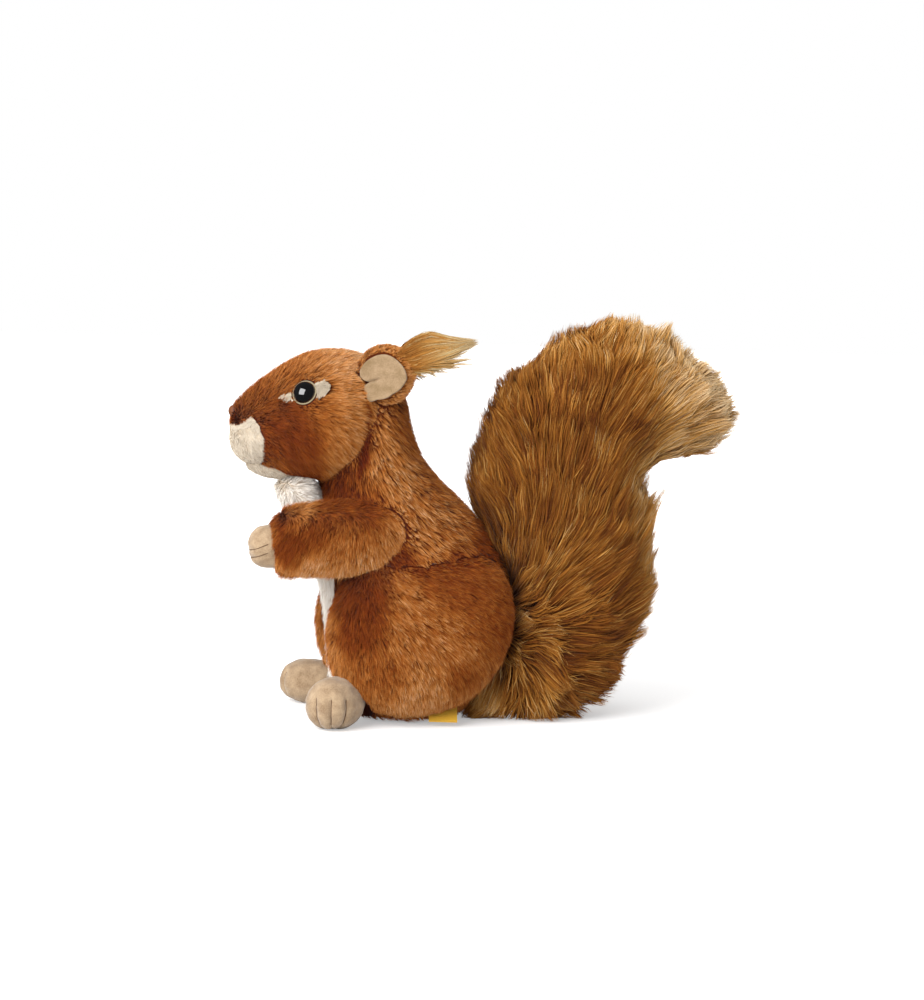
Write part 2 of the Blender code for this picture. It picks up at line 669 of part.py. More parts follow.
def main():
    clear_scene()
    parts = make_collection("plush squirrel")
    cutters = make_collection("cutters")
    rough = {"black plastic": 0.08, "white plastic": 0.4}
    materials = {name: make_material(name, rough.get(name, 0.9)) for name in COLOURS}
    brown, cream = materials["brown pile"], materials["cream velour"]

    torso = make_torso(parts, brown)
    head = make_head(parts, brown)
    muzzle, chin, nose = make_snout(parts, cream, materials["brown thread"])
    bib = make_bib(parts, cream)
    tail = make_tail(parts, materials["tail pile"])
    floor = make_floor_cutter(cutters)

    arms, haunches, feet = [], [], []
    for side, suffix in ((1, "left"), (-1, "right")):
        set_back, drop = (0.0, 0.0) if side > 0 else (RIGHT_ARM_SET_BACK, RIGHT_ARM_DROP)
        arm, hand = make_arm(side, suffix, set_back, drop, parts, materials)
        cut(arm, inflated(hand, cutters))
        arms.append(arm)
        haunches.append(make_haunch(side, suffix, parts, brown))
        toe, splay = (LEFT_TOE, LEFT_SPLAY) if side > 0 else (RIGHT_TOE, RIGHT_SPLAY)
        tip = (side * toe[0], toe[1], FOOT_HEIGHT / 2 - FOOT_SUNK)
        size = (FOOT_WIDTH, FOOT_LENGTH, FOOT_HEIGHT)
        feet.append(make_paw("foot_" + suffix, tip, side * splay, size, TOE_GROOVE, parts,
                             materials["beige velour"]))

    label = make_label(haunches[0], parts, materials["yellow weave"])
    cut_head = inflated(head, cutters)
    cut_torso = inflated(torso, cutters)
    cut_arms = [inflated(arm, cutters) for arm in arms]
    cut_haunches = [inflated(haunch, cutters) for haunch in haunches]
    cut_chin = inflated(chin, cutters)
    cut_muzzle = inflated(muzzle, cutters)
    cut_bib = inflated(bib, cutters)
    cut_nose = inflated(nose, cutters)

    for side, suffix in ((1, "left"), (-1, "right")):
        shift = (0, 0, 0) if side > 0 else (0, RIGHT_EAR_SET_BACK, -RIGHT_EAR_DROP)
        ear, lining, tuft = make_ear(side, suffix, shift, head, parts, materials)
        cut_ear = inflated(ear, cutters)
        for cutter in (inflated(lining, cutters), cut_head, cut_torso):
            cut(ear, cutter)
        cut(lining, cut_head)
        cut(tuft, cut_head)
        cut(tuft, cut_ear)
    for side, suffix in ((1, "left"), (-1, "right")):
        make_eye(side, suffix, head, parts, cutters, materials)

    for cutter in [cut_muzzle, cut_chin, cut_nose]:
        cut(head, cutter)
    cut(muzzle, cut_nose)
    cut(muzzle, cut_chin)
    for cutter in [cut_head, cut_chin] + cut_arms + cut_haunches:
        cut(bib, cutter)
    cut_feet = [inflated(foot, cutters) for foot in feet]
    cut_label = inflated(label, cutters)
    for cutter in [cut_head, cut_bib] + cut_arms + cut_haunches + cut_feet + [cut_label]:
        cut(torso, cutter)
    for haunch, foot, cut_foot, cut_arm in zip(haunches, feet, cut_feet, cut_arms):
        cut(haunch, cut_foot)
        cut(haunch, cut_arm)
        cut(haunch, floor)
        cut(foot, floor)
    cut(haunches[0], cut_label)
    for cutter in [cut_torso, floor] + cut_haunches:
        cut(tail, cutter)
    cut(torso, floor)
    cut(bib, floor)


main()
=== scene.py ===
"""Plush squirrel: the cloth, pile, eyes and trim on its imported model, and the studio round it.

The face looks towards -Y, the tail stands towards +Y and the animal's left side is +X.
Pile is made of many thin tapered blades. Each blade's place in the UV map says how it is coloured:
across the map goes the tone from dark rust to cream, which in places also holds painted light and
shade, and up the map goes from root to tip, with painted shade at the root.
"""

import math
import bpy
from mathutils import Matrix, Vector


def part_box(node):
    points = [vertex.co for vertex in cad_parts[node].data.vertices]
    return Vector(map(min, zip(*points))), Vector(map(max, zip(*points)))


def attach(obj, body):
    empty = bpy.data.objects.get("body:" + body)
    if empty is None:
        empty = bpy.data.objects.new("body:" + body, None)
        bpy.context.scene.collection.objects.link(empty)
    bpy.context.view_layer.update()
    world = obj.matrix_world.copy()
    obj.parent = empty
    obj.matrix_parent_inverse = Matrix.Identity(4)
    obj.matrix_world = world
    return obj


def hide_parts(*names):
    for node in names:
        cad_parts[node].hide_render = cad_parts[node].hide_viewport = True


bl_info = {
    "name": "Plush squirrel",
    "version": (1, 0, 0),
    "blender": (4, 5, 0),
    "location": "View3D > Sidebar > Plush",
    "description": "Builds the pile, velour, eyes and trim of a plush squirrel on its packed model",
    "category": "Object",
}

import bmesh
import bpy
import numpy as np
from bpy.props import FloatProperty, FloatVectorProperty, IntProperty, PointerProperty
from mathutils import Matrix, Vector
from mathutils.bvhtree import BVHTree
from mathutils.kdtree import KDTree

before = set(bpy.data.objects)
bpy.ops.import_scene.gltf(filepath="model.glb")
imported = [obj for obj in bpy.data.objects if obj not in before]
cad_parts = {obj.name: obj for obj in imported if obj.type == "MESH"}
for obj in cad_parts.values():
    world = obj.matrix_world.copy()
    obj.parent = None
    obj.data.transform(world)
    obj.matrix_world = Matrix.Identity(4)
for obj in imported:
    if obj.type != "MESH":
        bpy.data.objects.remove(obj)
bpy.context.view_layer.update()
ROOT = "root"
SIDES = ("left", "right")
MM = 0.001
UV_NAME = "OFBake"

# Room that is kept free at a seam, and how far a neighbouring piece is looked for, in metres:
# beside a face, round short pile and round long pile
SEAM = 0.00045
FACE_REACH, SHORT_REACH, LONG_REACH = 0.002, 0.008, 0.012
# Lowest place of a blade over the floor, in metres
FLOOR_GAP = 0.0002
# Half the width of a blade in the UV map, and where the map's height starts and how much is used
TONE_EDGE = 0.004
UV_FOOT, UV_SPAN = 0.03, 0.96
# Spread of the turn of the blades about their own lines, in radians
ROLL_SPREAD = 0.55

# Photograph frame and the place of the camera
IMAGE_SIZE = (924, 1000)
CAMERA_AZIMUTH = math.radians(80.0)
CAMERA_ELEVATION = math.radians(6.5)
CAMERA_ROLL = math.radians(2.0)
CAMERA_DISTANCE = 1.150
CAMERA_TARGET = (0.0, 0.0235, 0.1088)
PIXELS_PER_METRE = 2000.0
SENSOR_MM = 36.0

# Which way the tail's pile lies, seen from the animal's left: reach and height in mm, and degrees
TAIL_FLOW = (
    (42, 14, -155), (46, 24, -105), (50, 48, 0), (56, 36, -38), (65, 12, -50), (90, 20, -22),
    (70, 38, -5), (97, 45, 12), (60, 62, 38), (92, 66, 36), (56, 92, 78), (90, 92, 56),
    (46, 120, 128), (46, 100, 118), (72, 125, 84), (96, 128, 62), (42, 152, 132), (72, 160, 90),
    (100, 150, 58), (122, 145, 30), (146, 141, 2), (146, 165, 28), (116, 178, 62), (95, 192, 80),
    (70, 185, 105),
)
TAIL_STRANDS, TAIL_LOCKS = 66000, 1100

# What each group of pieces adds to the seed
SEED_STEPS = {"head": 20, "cream": 40, "tail": 60, "tufts": 80}

# Softboxes: name, place, target and side in metres, and whether glossy surfaces mirror them
KEY_LIGHT = ("Key light", (0.35, -0.15, 1.4), (0.0, 0.02, 0.08), 1.4, False)
FRONT_LIGHT = ("Front light", (0.66, -0.80, 0.64), (0.0, 0.02, 0.12), 0.85, True)
# The floor's reach, and where in metres from the toy its glow starts and is full
FLOOR_SIZE, GLOW_START, GLOW_FULL = 4.0, 0.25, 0.9

# Tone of the short pile, seen from the animal's left: rows of reach, height and spread in mm, the
# tone from rust to cream, and the share of frosted fibre. The tones hold the pile's own mottling,
# and the lowest, in the folds under the jaw, over the haunch and under the arm and along the top
# of the sleeve, also paint the shade there.
HEAD_COAT = (
    (-45, 177, 8, 0.56, 0.5), (-36, 180, 7, 0.62, 0.5), (-72, 171, 7, 0.36, 0.4),
    (-66, 167, 4, 0.26, 0.3), (-85, 158, 7, 0.26, 0.2), (-84, 151, 5, 0.20, 0.2),
    (-55, 154, 6, 0.32, 0.2), (-65, 143, 10, 0.07, 0.1), (-74, 149, 7, 0.10, 0.1),
    (-43, 144, 9, 0.38, 0.7), (-40, 126, 9, 0.42, 0.7), (-41, 164, 8, 0.46, 0.6),
    (-60, 125, 7, 0.12, 0.2), (-33, 150, 7, 0.44, 0.7), (-58, 172, 6, 0.42, 0.5),
)
BODY_COAT = (
    (-22, 146, 9, 0.44, 0.6), (-11, 148, 7, 0.24, 0.4), (-17, 124, 9, 0.46, 0.8),
    (-30, 120, 5, 0.34, 0.3), (-39, 115, 8, 0.08, 0.1), (-28, 110, 8, 0.08, 0.1),
    (-14, 107, 11, 0.42, 0.9), (10, 98, 12, 0.38, 0.9), (33, 92, 9, 0.10, 0.2),
    (14, 86, 4, 0.06, 0.1), (-14, 84, 5, 0.10, 0.1), (20, 125, 12, 0.30, 0.6),
)
ARM_COAT = (
    (-66, 93, 8, 0.10, 0.2), (-74, 96, 3, 0.44, 0.2), (-52, 99, 6, 0.14, 0.2),
    (-28, 110, 9, 0.08, 0.15), (-52, 80, 7, 0.50, 0.9), (-38, 94, 8, 0.30, 0.8),
    (-61, 109, 5, 0.50, 0.2), (-46, 109, 7, 0.16, 0.2), (-14, 100, 11, 0.38, 0.9),
    (-30, 79, 8, 0.46, 0.9), (-70, 78, 5, 0.46, 0.6),
)
HAUNCH_COAT = (
    (-46, 53, 3.5, 0.46, 0.2), (-44, 39, 3.5, 0.46, 0.2), (-41, 26, 5, 0.46, 0.3),
    (-28, 65, 9, 0.06, 0.1), (-33, 50, 7, 0.10, 0.1), (15, 73, 12, 0.14, 0.5),
    (-12, 64, 8, 0.34, 0.9), (1, 47, 14, 0.32, 0.9), (-21, 31, 9, 0.22, 0.6),
    (-3, 15, 12, 0.46, 0.8), (18, 29, 6, 0.18, 0.5), (37, 55, 10, 0.16, 0.5),
    (27, 12, 9, 0.36, 0.6), (-30, 12, 8, 0.36, 0.5), (0, 80, 5, 0.16, 0.3),
)

# Weight of the tone and frost that a tone map has away from its rows
BASE_WEIGHT = 0.06

# Finishes that several pieces share, by their short names
MATERIALS = {}


def srgb(text):
    """Linear colour of a hex value: c / 12.92 up to 0.04045, else ((c + 0.055) / 1.055)^2.4."""
    values = [int(text[i:i + 2], 16) / 255 for i in (1, 3, 5)]
    linear = [v / 12.92 if v <= 0.04045 else ((v + 0.055) / 1.055) ** 2.4 for v in values]
    return (*linear, 1.0)


def add_node(tree, kind, settings=None, inputs=None, stops=()):
    """Adds a node with its settings, its inputs and the stops of its colour ramp.

    An input that is given a socket is linked, and any other is set. A stop is a place and a colour.
    """
    node = tree.nodes.new(kind)
    for name, value in (settings or {}).items():
        setattr(node, name, value)
    for name, value in (inputs or {}).items():
        if isinstance(value, bpy.types.NodeSocket):
            tree.links.new(value, node.inputs[name])
        else:
            node.inputs[name].default_value = value
    for index, (place, colour) in enumerate(stops):
        elements = node.color_ramp.elements
        stop = elements[index] if index < len(elements) else elements.new(place)
        stop.position, stop.color = place, srgb(colour)
    return node


def new_material(name):
    """An empty material and its node tree."""
    material = bpy.data.materials.new(name)
    material.use_nodes = True
    material.node_tree.nodes.clear()
    return material, material.node_tree


def pile_material(name, tones, painted_root_shade, root_tone, roughness):
    """Plush pile: dyed acrylic fibre, woven in and brushed.

    The dye is deep at the root and bleached at the tip, which gives the frosted look. On top of it,
    painted shade darkens each blade from the root shade at its root to none at 0.6 of its length,
    for the shadow deep in the pile.
    """
    material, tree = new_material(name)
    place = add_node(tree, "ShaderNodeUVMap", {"uv_map": UV_NAME})
    split = add_node(tree, "ShaderNodeSeparateXYZ", inputs={"Vector": place.outputs["UV"]})
    along, tone = split.outputs["Y"], split.outputs["X"]
    bleached = add_node(tree, "ShaderNodeMath", {"operation": "MULTIPLY_ADD"},
                        {0: along, 1: 1.1 - root_tone, 2: root_tone})
    strength = add_node(tree, "ShaderNodeMath", {"operation": "MULTIPLY"},
                        {0: bleached.outputs[0], 1: tone})
    colouring = add_node(tree, "ShaderNodeValToRGB", inputs={"Fac": strength.outputs[0]}, stops=tones)
    # Painted shade deep in the pile, on the lower part of each blade and on the backing cloth.
    depth = add_node(tree, "ShaderNodeValToRGB", inputs={"Fac": along},
                     stops=((0.0, painted_root_shade), (0.6, "#ffffff")))
    mixed = add_node(tree, "ShaderNodeMix", {"data_type": "RGBA", "blend_type": "MULTIPLY"},
                     {0: 1.0, 6: colouring.outputs["Color"], 7: depth.outputs["Color"]})
    shader = add_node(tree, "ShaderNodeBsdfPrincipled",
                      inputs={"Base Color": mixed.outputs[2], "Roughness": roughness,
                              "Specular IOR Level": 0.12, "Sheen Weight": 0.1,
                              "Sheen Roughness": 0.45})
    add_node(tree, "ShaderNodeOutputMaterial", inputs={"Surface": shader.outputs[0]})
    return material


def shaded(colour, share):
    """A linear colour times a share."""
    return tuple(v * share for v in colour[:3]) + (1.0,)


def velour_material(name, light, dark, patch_mm, grain_mm):
    """Velour: cut fibre about 1 mm long.

    Single fibres are finer than a pixel, so the grain is drawn as coarse as it needs to show. It
    gives the eye a soft mottling with a dull sheen.
    """
    material, tree = new_material(name)
    place = add_node(tree, "ShaderNodeTexCoord").outputs["Object"]
    patch = add_node(tree, "ShaderNodeTexNoise",
                     inputs={"Vector": place, "Scale": 1 / (patch_mm * MM), "Detail": 3.0})
    grain = add_node(tree, "ShaderNodeTexNoise",
                     inputs={"Vector": place, "Scale": 1 / (grain_mm * MM), "Detail": 2.0})
    both = add_node(tree, "ShaderNodeMath", {"operation": "MULTIPLY_ADD"},
                    {0: grain.outputs["Fac"], 1: 0.55, 2: patch.outputs["Fac"]})
    colouring = add_node(tree, "ShaderNodeValToRGB", inputs={"Fac": both.outputs[0]},
                   stops=((0.55, dark), (1.0, light)))
    bump = add_node(tree, "ShaderNodeBump", inputs={"Strength": 0.35, "Distance": 0.0004,
                                                    "Height": both.outputs[0]})
    shader = add_node(tree, "ShaderNodeBsdfPrincipled",
                      inputs={"Base Color": colouring.outputs["Color"], "Roughness": 0.9,
                              "Normal": bump.outputs["Normal"], "Specular IOR Level": 0.15,
                              "Sheen Weight": 0.35, "Sheen Roughness": 0.5})
    add_node(tree, "ShaderNodeOutputMaterial", inputs={"Surface": shader.outputs[0]})
    return material


def plain_material(name, colour, roughness, grain_mm, spread, coat=0.0):
    """A moulded or spun surface of one colour, with faint mottling by a grain in mm."""
    material, tree = new_material(name)
    place = add_node(tree, "ShaderNodeTexCoord").outputs["Object"]
    grain = add_node(tree, "ShaderNodeTexNoise",
                     inputs={"Vector": place, "Scale": 1 / (grain_mm * MM), "Detail": 3.0})
    base = srgb(colour)
    mixed = add_node(tree, "ShaderNodeMix", {"data_type": "RGBA"},
                     {0: grain.outputs["Fac"], 6: shaded(base, 1 - spread), 7: base})
    shader = add_node(tree, "ShaderNodeBsdfPrincipled",
                      inputs={"Base Color": mixed.outputs[2], "Roughness": roughness,
                              "Coat Weight": coat, "Coat Roughness": 0.03})
    add_node(tree, "ShaderNodeOutputMaterial", inputs={"Surface": shader.outputs[0]})
    return material


def weave_material(name, colour, thread_mm):
    """Woven ribbon: satin threads across the tab at their real spacing, which give it fine lines.

    A wave texture's band is 0.314 long at a scale of 1.
    """
    material, tree = new_material(name)
    place = add_node(tree, "ShaderNodeTexCoord").outputs["Object"]
    waves = add_node(tree, "ShaderNodeTexWave", {"bands_direction": "Y"},
                     {"Vector": place, "Scale": 0.314 / (thread_mm * MM), "Distortion": 1.2,
                      "Detail": 2.0})
    mixed = add_node(tree, "ShaderNodeMix", {"data_type": "RGBA"},
                     {0: waves.outputs["Fac"], 6: shaded(colour, 0.7), 7: shaded(colour, 1.0)})
    bump = add_node(tree, "ShaderNodeBump", inputs={"Strength": 0.4, "Distance": 0.0002,
                                                    "Height": waves.outputs["Fac"]})
    shader = add_node(tree, "ShaderNodeBsdfPrincipled",
                      inputs={"Base Color": mixed.outputs[2], "Roughness": 0.5,
                              "Normal": bump.outputs["Normal"], "Sheen Weight": 0.2})
    add_node(tree, "ShaderNodeOutputMaterial", inputs={"Surface": shader.outputs[0]})
    return material


def unit(vectors):
    """v / |v| along the last axis."""
    length = np.linalg.norm(vectors, axis=-1, keepdims=True)
    return vectors / np.maximum(length, 1e-12)


def waves(points, size, seed):
    """Smooth noise from -1 to 1: eight sine waves of about that size in turned directions, / 4."""
    draw = np.random.default_rng(seed)
    ways = unit(draw.normal(size=(8, 3))) * draw.uniform(0.6, 1.5, (8, 1)) * 2 * np.pi / size
    shift = draw.uniform(0, 2 * np.pi, 8)
    return np.clip(np.sin(points @ ways.T + shift).sum(axis=1) / 4, -1, 1)


def smoothstep(low, high, value):
    """3 t^2 - 2 t^3 with t = (value - low) / (high - low), held from 0 to 1."""
    t = np.clip((value - low) / (high - low), 0, 1)
    return t * t * (3 - 2 * t)


def spot(points, reach, height, radius):
    """exp(-d^2 / radius^2), with d the distance in mm from a line across the body, along X."""
    away = (points[:, 1] / MM - reach) ** 2 + (points[:, 2] / MM - height) ** 2
    return np.exp(-away / radius ** 2)


def cad_surface(name, beside=None):
    """Corner points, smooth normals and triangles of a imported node, with its doubles merged.

    With a tree of its neighbours, faces that lie against one are left out of the normals.
    """
    work = bmesh.new()
    work.from_mesh(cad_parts[name].data)
    bmesh.ops.remove_doubles(work, verts=work.verts, dist=0.00001)
    bmesh.ops.triangulate(work, faces=work.faces)
    work.verts.index_update()
    points = np.array([v.co for v in work.verts])
    faces = np.array([[v.index for v in f.verts] for f in work.faces])
    work.free()
    a, b, c = (points[faces[:, k]] for k in range(3))
    flat = np.cross(b - a, c - a)
    free = np.ones(len(faces), dtype=bool)
    if beside is not None:
        free = room_beside(beside, (a + b + c) / 3, FACE_REACH) > SEAM
    normals = np.zeros_like(points)
    spare = np.zeros_like(points)
    for k in range(3):
        np.add.at(normals, faces[free, k], flat[free])
        np.add.at(spare, faces[:, k], flat)
    shut = np.linalg.norm(normals, axis=1) < 1e-12
    normals[shut] = spare[shut]
    return points, unit(normals), faces


def neighbours_tree(name):
    """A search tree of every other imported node's triangles."""
    points, faces, start = [], [], 0
    for other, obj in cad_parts.items():
        if other == name:
            continue
        mesh = obj.data
        place = np.zeros(len(mesh.vertices) * 3)
        mesh.vertices.foreach_get("co", place)
        mesh.calc_loop_triangles()
        corners = np.zeros(len(mesh.loop_triangles) * 3, dtype=int)
        mesh.loop_triangles.foreach_get("vertices", corners)
        points.append(place.reshape(-1, 3))
        faces.append(corners.reshape(-1, 3) + start)
        start += len(mesh.vertices)
    return BVHTree.FromPolygons(np.concatenate(points).tolist(), np.concatenate(faces).tolist())


def scatter(points, normals, faces, count, draw):
    """Random places spread evenly over triangles: p = a + u (b - a) + v (c - a), u + v below 1."""
    a, b, c = (points[faces[:, k]] for k in range(3))
    area = np.linalg.norm(np.cross(b - a, c - a), axis=1)
    pick = np.searchsorted(np.cumsum(area) / area.sum(), draw.random(count))
    pick = np.minimum(pick, len(faces) - 1)
    u, v = draw.random((2, count, 1))
    over = (u + v) > 1
    u, v = np.where(over, 1 - u, u), np.where(over, 1 - v, v)
    place = a[pick] + u * (b[pick] - a[pick]) + v * (c[pick] - a[pick])
    corner_normals = [normals[faces[pick, k]] for k in range(3)]
    normal = corner_normals[0] * (1 - u - v) + corner_normals[1] * u + corner_normals[2] * v
    return place, unit(normal)


def room_beside(tree, places, reach):
    """Distance from each place to the nearest neighbouring piece, held at reach."""
    found = (tree.find_nearest(place, reach)[3] for place in places.tolist())
    return np.array([reach if distance is None else distance for distance in found])


def inset(depth, room):
    """How deep the roots lie: the pile's depth, drawn up to the surface where a seam is near."""
    return np.minimum(depth, np.maximum(room - SEAM, 0) * 0.6)


def nearest(points, guides):
    """Index of the nearest guide to each point."""
    tree = KDTree(len(guides))
    for index, guide in enumerate(guides.tolist()):
        tree.insert(guide, index)
    tree.balance()
    return np.array([tree.find(point)[1] for point in points.tolist()])


def gather(lines, group, amount, pull):
    """Locks: each tip is drawn to the middle of its group's tips, by pull s^2 along the blade."""
    held = np.bincount(group, minlength=amount).clip(1)
    tips = lines[:, -1]
    middle = np.stack([np.bincount(group, tips[:, k], amount) / held for k in range(3)], axis=1)
    share = np.linspace(0, 1, lines.shape[1])
    shift = (middle[group] - tips)[:, None] * (pull * share ** 2)[None, :, None]
    return lines + shift


def blades(lines, width, tone, normals, draw):
    """Tapered blades along lines of shape (count, steps + 1, 3).

    The blade is flat across w = t x n, turned about its own line by a random roll, and its half
    width is width (1 - s^2) / 2 at share s of its length, so that it ends in a point.
    Returns points, triangles and the UV of each triangle's corners.
    """
    count, steps = lines.shape[0], lines.shape[1] - 1
    roll = draw.normal(0, ROLL_SPREAD, count)
    way = unit(lines[:, -1] - lines[:, 0])
    across = unit(np.cross(way, normals))
    lift = np.cross(across, way)
    across = across * np.cos(roll)[:, None] + lift * np.sin(roll)[:, None]
    share = np.arange(steps) / steps
    half = (1 - share ** 2) * 0.5
    side = across[:, None] * (width[:, None] * half)[..., None]
    pairs = np.stack([lines[:, :-1] - side, lines[:, :-1] + side], axis=2)
    points = np.concatenate([pairs.reshape(count, 2 * steps, 3), lines[:, -1:]], axis=1)
    left, right, corners, uv_rows = -TONE_EDGE, TONE_EDGE, [], []
    for k in range(steps - 1):
        a, b, c, d = range(2 * k, 2 * k + 4)
        low, high = k / steps, (k + 1) / steps
        corners += [(a, b, d), (a, d, c)]
        uv_rows += [((left, low), (right, low), (right, high)),
                    ((left, low), (right, high), (left, high))]
    last = (steps - 1) / steps
    corners.append((2 * steps - 2, 2 * steps - 1, 2 * steps))
    uv_rows.append(((left, last), (right, last), (0.0, 1.0)))
    faces = np.array(corners)[None] + (np.arange(count) * (2 * steps + 1))[:, None, None]
    uv = np.broadcast_to(np.array(uv_rows), (count, len(corners), 3, 2)).copy()
    uv[..., 0] += np.clip(tone, 0.01, 0.99)[:, None, None]
    uv[..., 1] = UV_FOOT + UV_SPAN * uv[..., 1]
    points = points.reshape(-1, 3)
    points[:, 2] = np.maximum(points[:, 2], FLOOR_GAP)
    return points, faces.reshape(-1, 3), uv.reshape(-1, 3, 2)


def ground(points, normals, faces, depth, tone):
    """The backing cloth under the pile: the node's surface drawn in by depth, coloured as the roots
    and darkened with them by the painted root shade.
    """
    place = points - normals * depth[:, None]
    place[:, 2] = np.maximum(place[:, 2], 0.0)
    corners = np.array([[-TONE_EDGE, 0.0], [TONE_EDGE, 0.0], [0.0, 0.02]]) + (tone, 0.0)
    return place, faces, np.broadcast_to(corners, (len(faces), 3, 2))


def settle(mesh, finish, nodes):
    """The mesh becomes a piece in its finish that rides on the toy and stands for its nodes, which
    are hidden.
    """
    mesh.materials.append(MATERIALS[finish])
    obj = bpy.data.objects.new(mesh.name, mesh)
    bpy.context.scene.collection.objects.link(obj)
    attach(obj, ROOT)
    if nodes:
        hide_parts(*nodes)


def mesh_piece(name, parts, finish, node):
    """One piece from rows of points, triangles and corner UVs."""
    points, faces, uvs = zip(*parts)
    starts = np.cumsum([0] + [len(place) for place in points[:-1]])
    faces = np.concatenate([corners + start for corners, start in zip(faces, starts)])
    points, uvs = np.concatenate(points), np.concatenate(uvs)
    mesh = bpy.data.meshes.new(name)
    mesh.vertices.add(len(points))
    mesh.vertices.foreach_set("co", points.astype(np.float32).ravel())
    mesh.loops.add(faces.size)
    mesh.loops.foreach_set("vertex_index", faces.astype(np.int32).ravel())
    mesh.polygons.add(len(faces))
    mesh.polygons.foreach_set("loop_start", np.arange(0, faces.size, 3, dtype=np.int32))
    mesh.update(calc_edges=True)
    layer = mesh.uv_layers.new(name=UV_NAME, do_init=False)
    layer.data.foreach_set("uv", uvs.astype(np.float32).ravel())
    settle(mesh, finish, [node])


def finer(points, normals, faces):
    """Each triangle in four, with the normals shared out between the corners."""
    edges = np.sort(np.concatenate([faces[:, [0, 1]], faces[:, [1, 2]], faces[:, [2, 0]]]), axis=1)
    edges, place = np.unique(edges, axis=0, return_inverse=True)
    ab, bc, ca = place.reshape(3, -1) + len(points)
    points = np.concatenate([points, points[edges].mean(axis=1)])
    normals = np.concatenate([normals, unit(normals[edges].sum(axis=1))])
    a, b, c = faces.T
    corners = ((a, ab, ca), (ab, b, bc), (ca, bc, c), (ab, bc, ca))
    return points, normals, np.concatenate([np.stack(rows, axis=1) for rows in corners])


def measure(value, places):
    """A measure at each place, from a function of the places or from one number."""
    return value(places) if callable(value) else np.full(len(places), value)


def dress(name, node, count, look, comb, coat, draw, finish, skin_tone=0.1, where=None):
    """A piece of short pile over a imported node, with a backing cloth where a skin tone is given.

    A root lies depth under the surface. The blade leaves it along
    d = n cos(lean) + t sin(lean) + noise, with t the combed direction laid flat on the surface,
    and is long enough for its tip to stand over by the pile's rise. Blades gather in small locks.
    """
    tree = neighbours_tree(node)
    points, normals, faces = cad_surface(node, tree)
    place, normal = scatter(points, normals, faces, count, draw)
    if where is not None:
        chosen = where(place)
        place, normal = place[chosen], normal[chosen]
    room = room_beside(tree, place, SHORT_REACH)
    under = (place[:, 2] < 0.0008) & (normal[:, 2] < -0.5)
    keep = (room > SEAM) & ~under
    place, normal, room = place[keep], normal[keep], room[keep]
    amount = len(place)
    depth = inset(measure(look["depth"], place), room)
    rise = measure(look["rise"], place)
    along = comb(place, normal)
    along = unit(along - normal * (along * normal).sum(axis=1)[:, None] + 1e-6)
    lean = look["lean"] + 0.20 * waves(place, 9 * MM, 21) + draw.normal(0, 0.14, amount)
    way = normal * np.cos(lean)[:, None] + along * np.sin(lean)[:, None]
    mat = np.stack([waves(place, look["clump"], 11 + k) for k in range(3)], axis=1)
    way = unit(way + mat * look["mat"] + draw.normal(0, look["stray"], (amount, 3)))
    outward = np.maximum((way * normal).sum(axis=1), 0.35)
    reach = (depth + rise * draw.uniform(0.2, 1.3, amount)) / outward
    root = place - normal * depth[:, None]
    bend = along * 0.30 - normal * 0.12 + draw.normal(0, 0.10, (amount, 3))
    lines = np.stack([root, root + (way + bend) * reach[:, None]], axis=1)
    locks = max(1, amount // look["lock"])
    group = nearest(place, place[:locks])
    lines = gather(lines, group, locks, look["pull"])
    # The coat's tone brings painted shade in the folds; the frost, the waves and the jitter are the
    # pile's own mottling.
    tone, frost = coat(place)
    bright = draw.random(locks)[group] * 0.45 + draw.random(amount) * 0.55
    colouring = tone + frost * (0.62 * bright ** 1.3 - 0.20) + 0.04 * waves(place, 5 * MM, 31)
    colouring = colouring + draw.normal(0, 0.03, amount)
    width = look["width"] * draw.uniform(0.7, 1.3, amount)
    parts = [blades(lines, width, colouring, normal, draw)]
    if skin_tone is not None:
        points, normals, faces = finer(points, normals, faces)
        room = room_beside(tree, points, SHORT_REACH)
        skin_depth = inset(measure(look["depth"], points), room)
        parts.insert(0, ground(points, normals, faces, skin_depth, skin_tone))
    mesh_piece(name, parts, finish, node)


def towards(*direction):
    """A comb that runs one way all over."""
    def comb(points, normals):
        return np.broadcast_to(np.array(direction, dtype=float), points.shape)
    return comb


def node_centre(name):
    """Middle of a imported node's box."""
    low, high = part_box(name)
    return np.array((low + high) / 2)


def eye_frame(suffix):
    """Centre of the ring round an eye, and the axes out of the head, back along it and up it."""
    centre = node_centre("eye_rim_" + suffix)
    out = unit(centre - node_centre("eye_washer_" + suffix))
    back = unit(np.array((0.0, 1.0, 0.0)) - out * out[1])
    up = np.cross(out, back)
    if up[2] < 0:
        up = -up
    return centre, out, back, up


EYES = {suffix: eye_frame(suffix) for suffix in SIDES}


def eye_distance(points):
    """Distance in mm from the nearer eye's centre."""
    return np.minimum(*(np.linalg.norm(points - eye[0], axis=1) for eye in EYES.values())) / MM


def inside(points, corners):
    """How far in mm a place lies inside a convex outline, drawn in reach and height from an eye."""
    centre = EYES["left"][0]
    flat = np.stack([points[:, 1] - centre[1], points[:, 2] - centre[2]], axis=1) / MM
    corners = np.array(corners, dtype=float)
    along = np.roll(corners, -1, axis=0) - corners
    inward = unit(np.stack([-along[:, 1], along[:, 0]], axis=1))
    away = ((flat[:, None] - corners) * inward).sum(axis=2)
    return away.min(axis=1)


REAR_LID = ((5.2, -0.6), (7.2, -0.9), (11.0, 1.5), (12.3, 4.2), (9.4, 6.5), (5.2, 5.4))
FRONT_LID = ((-10.8, -1.6), (-5.0, -3.6), (-5.0, 0.4))
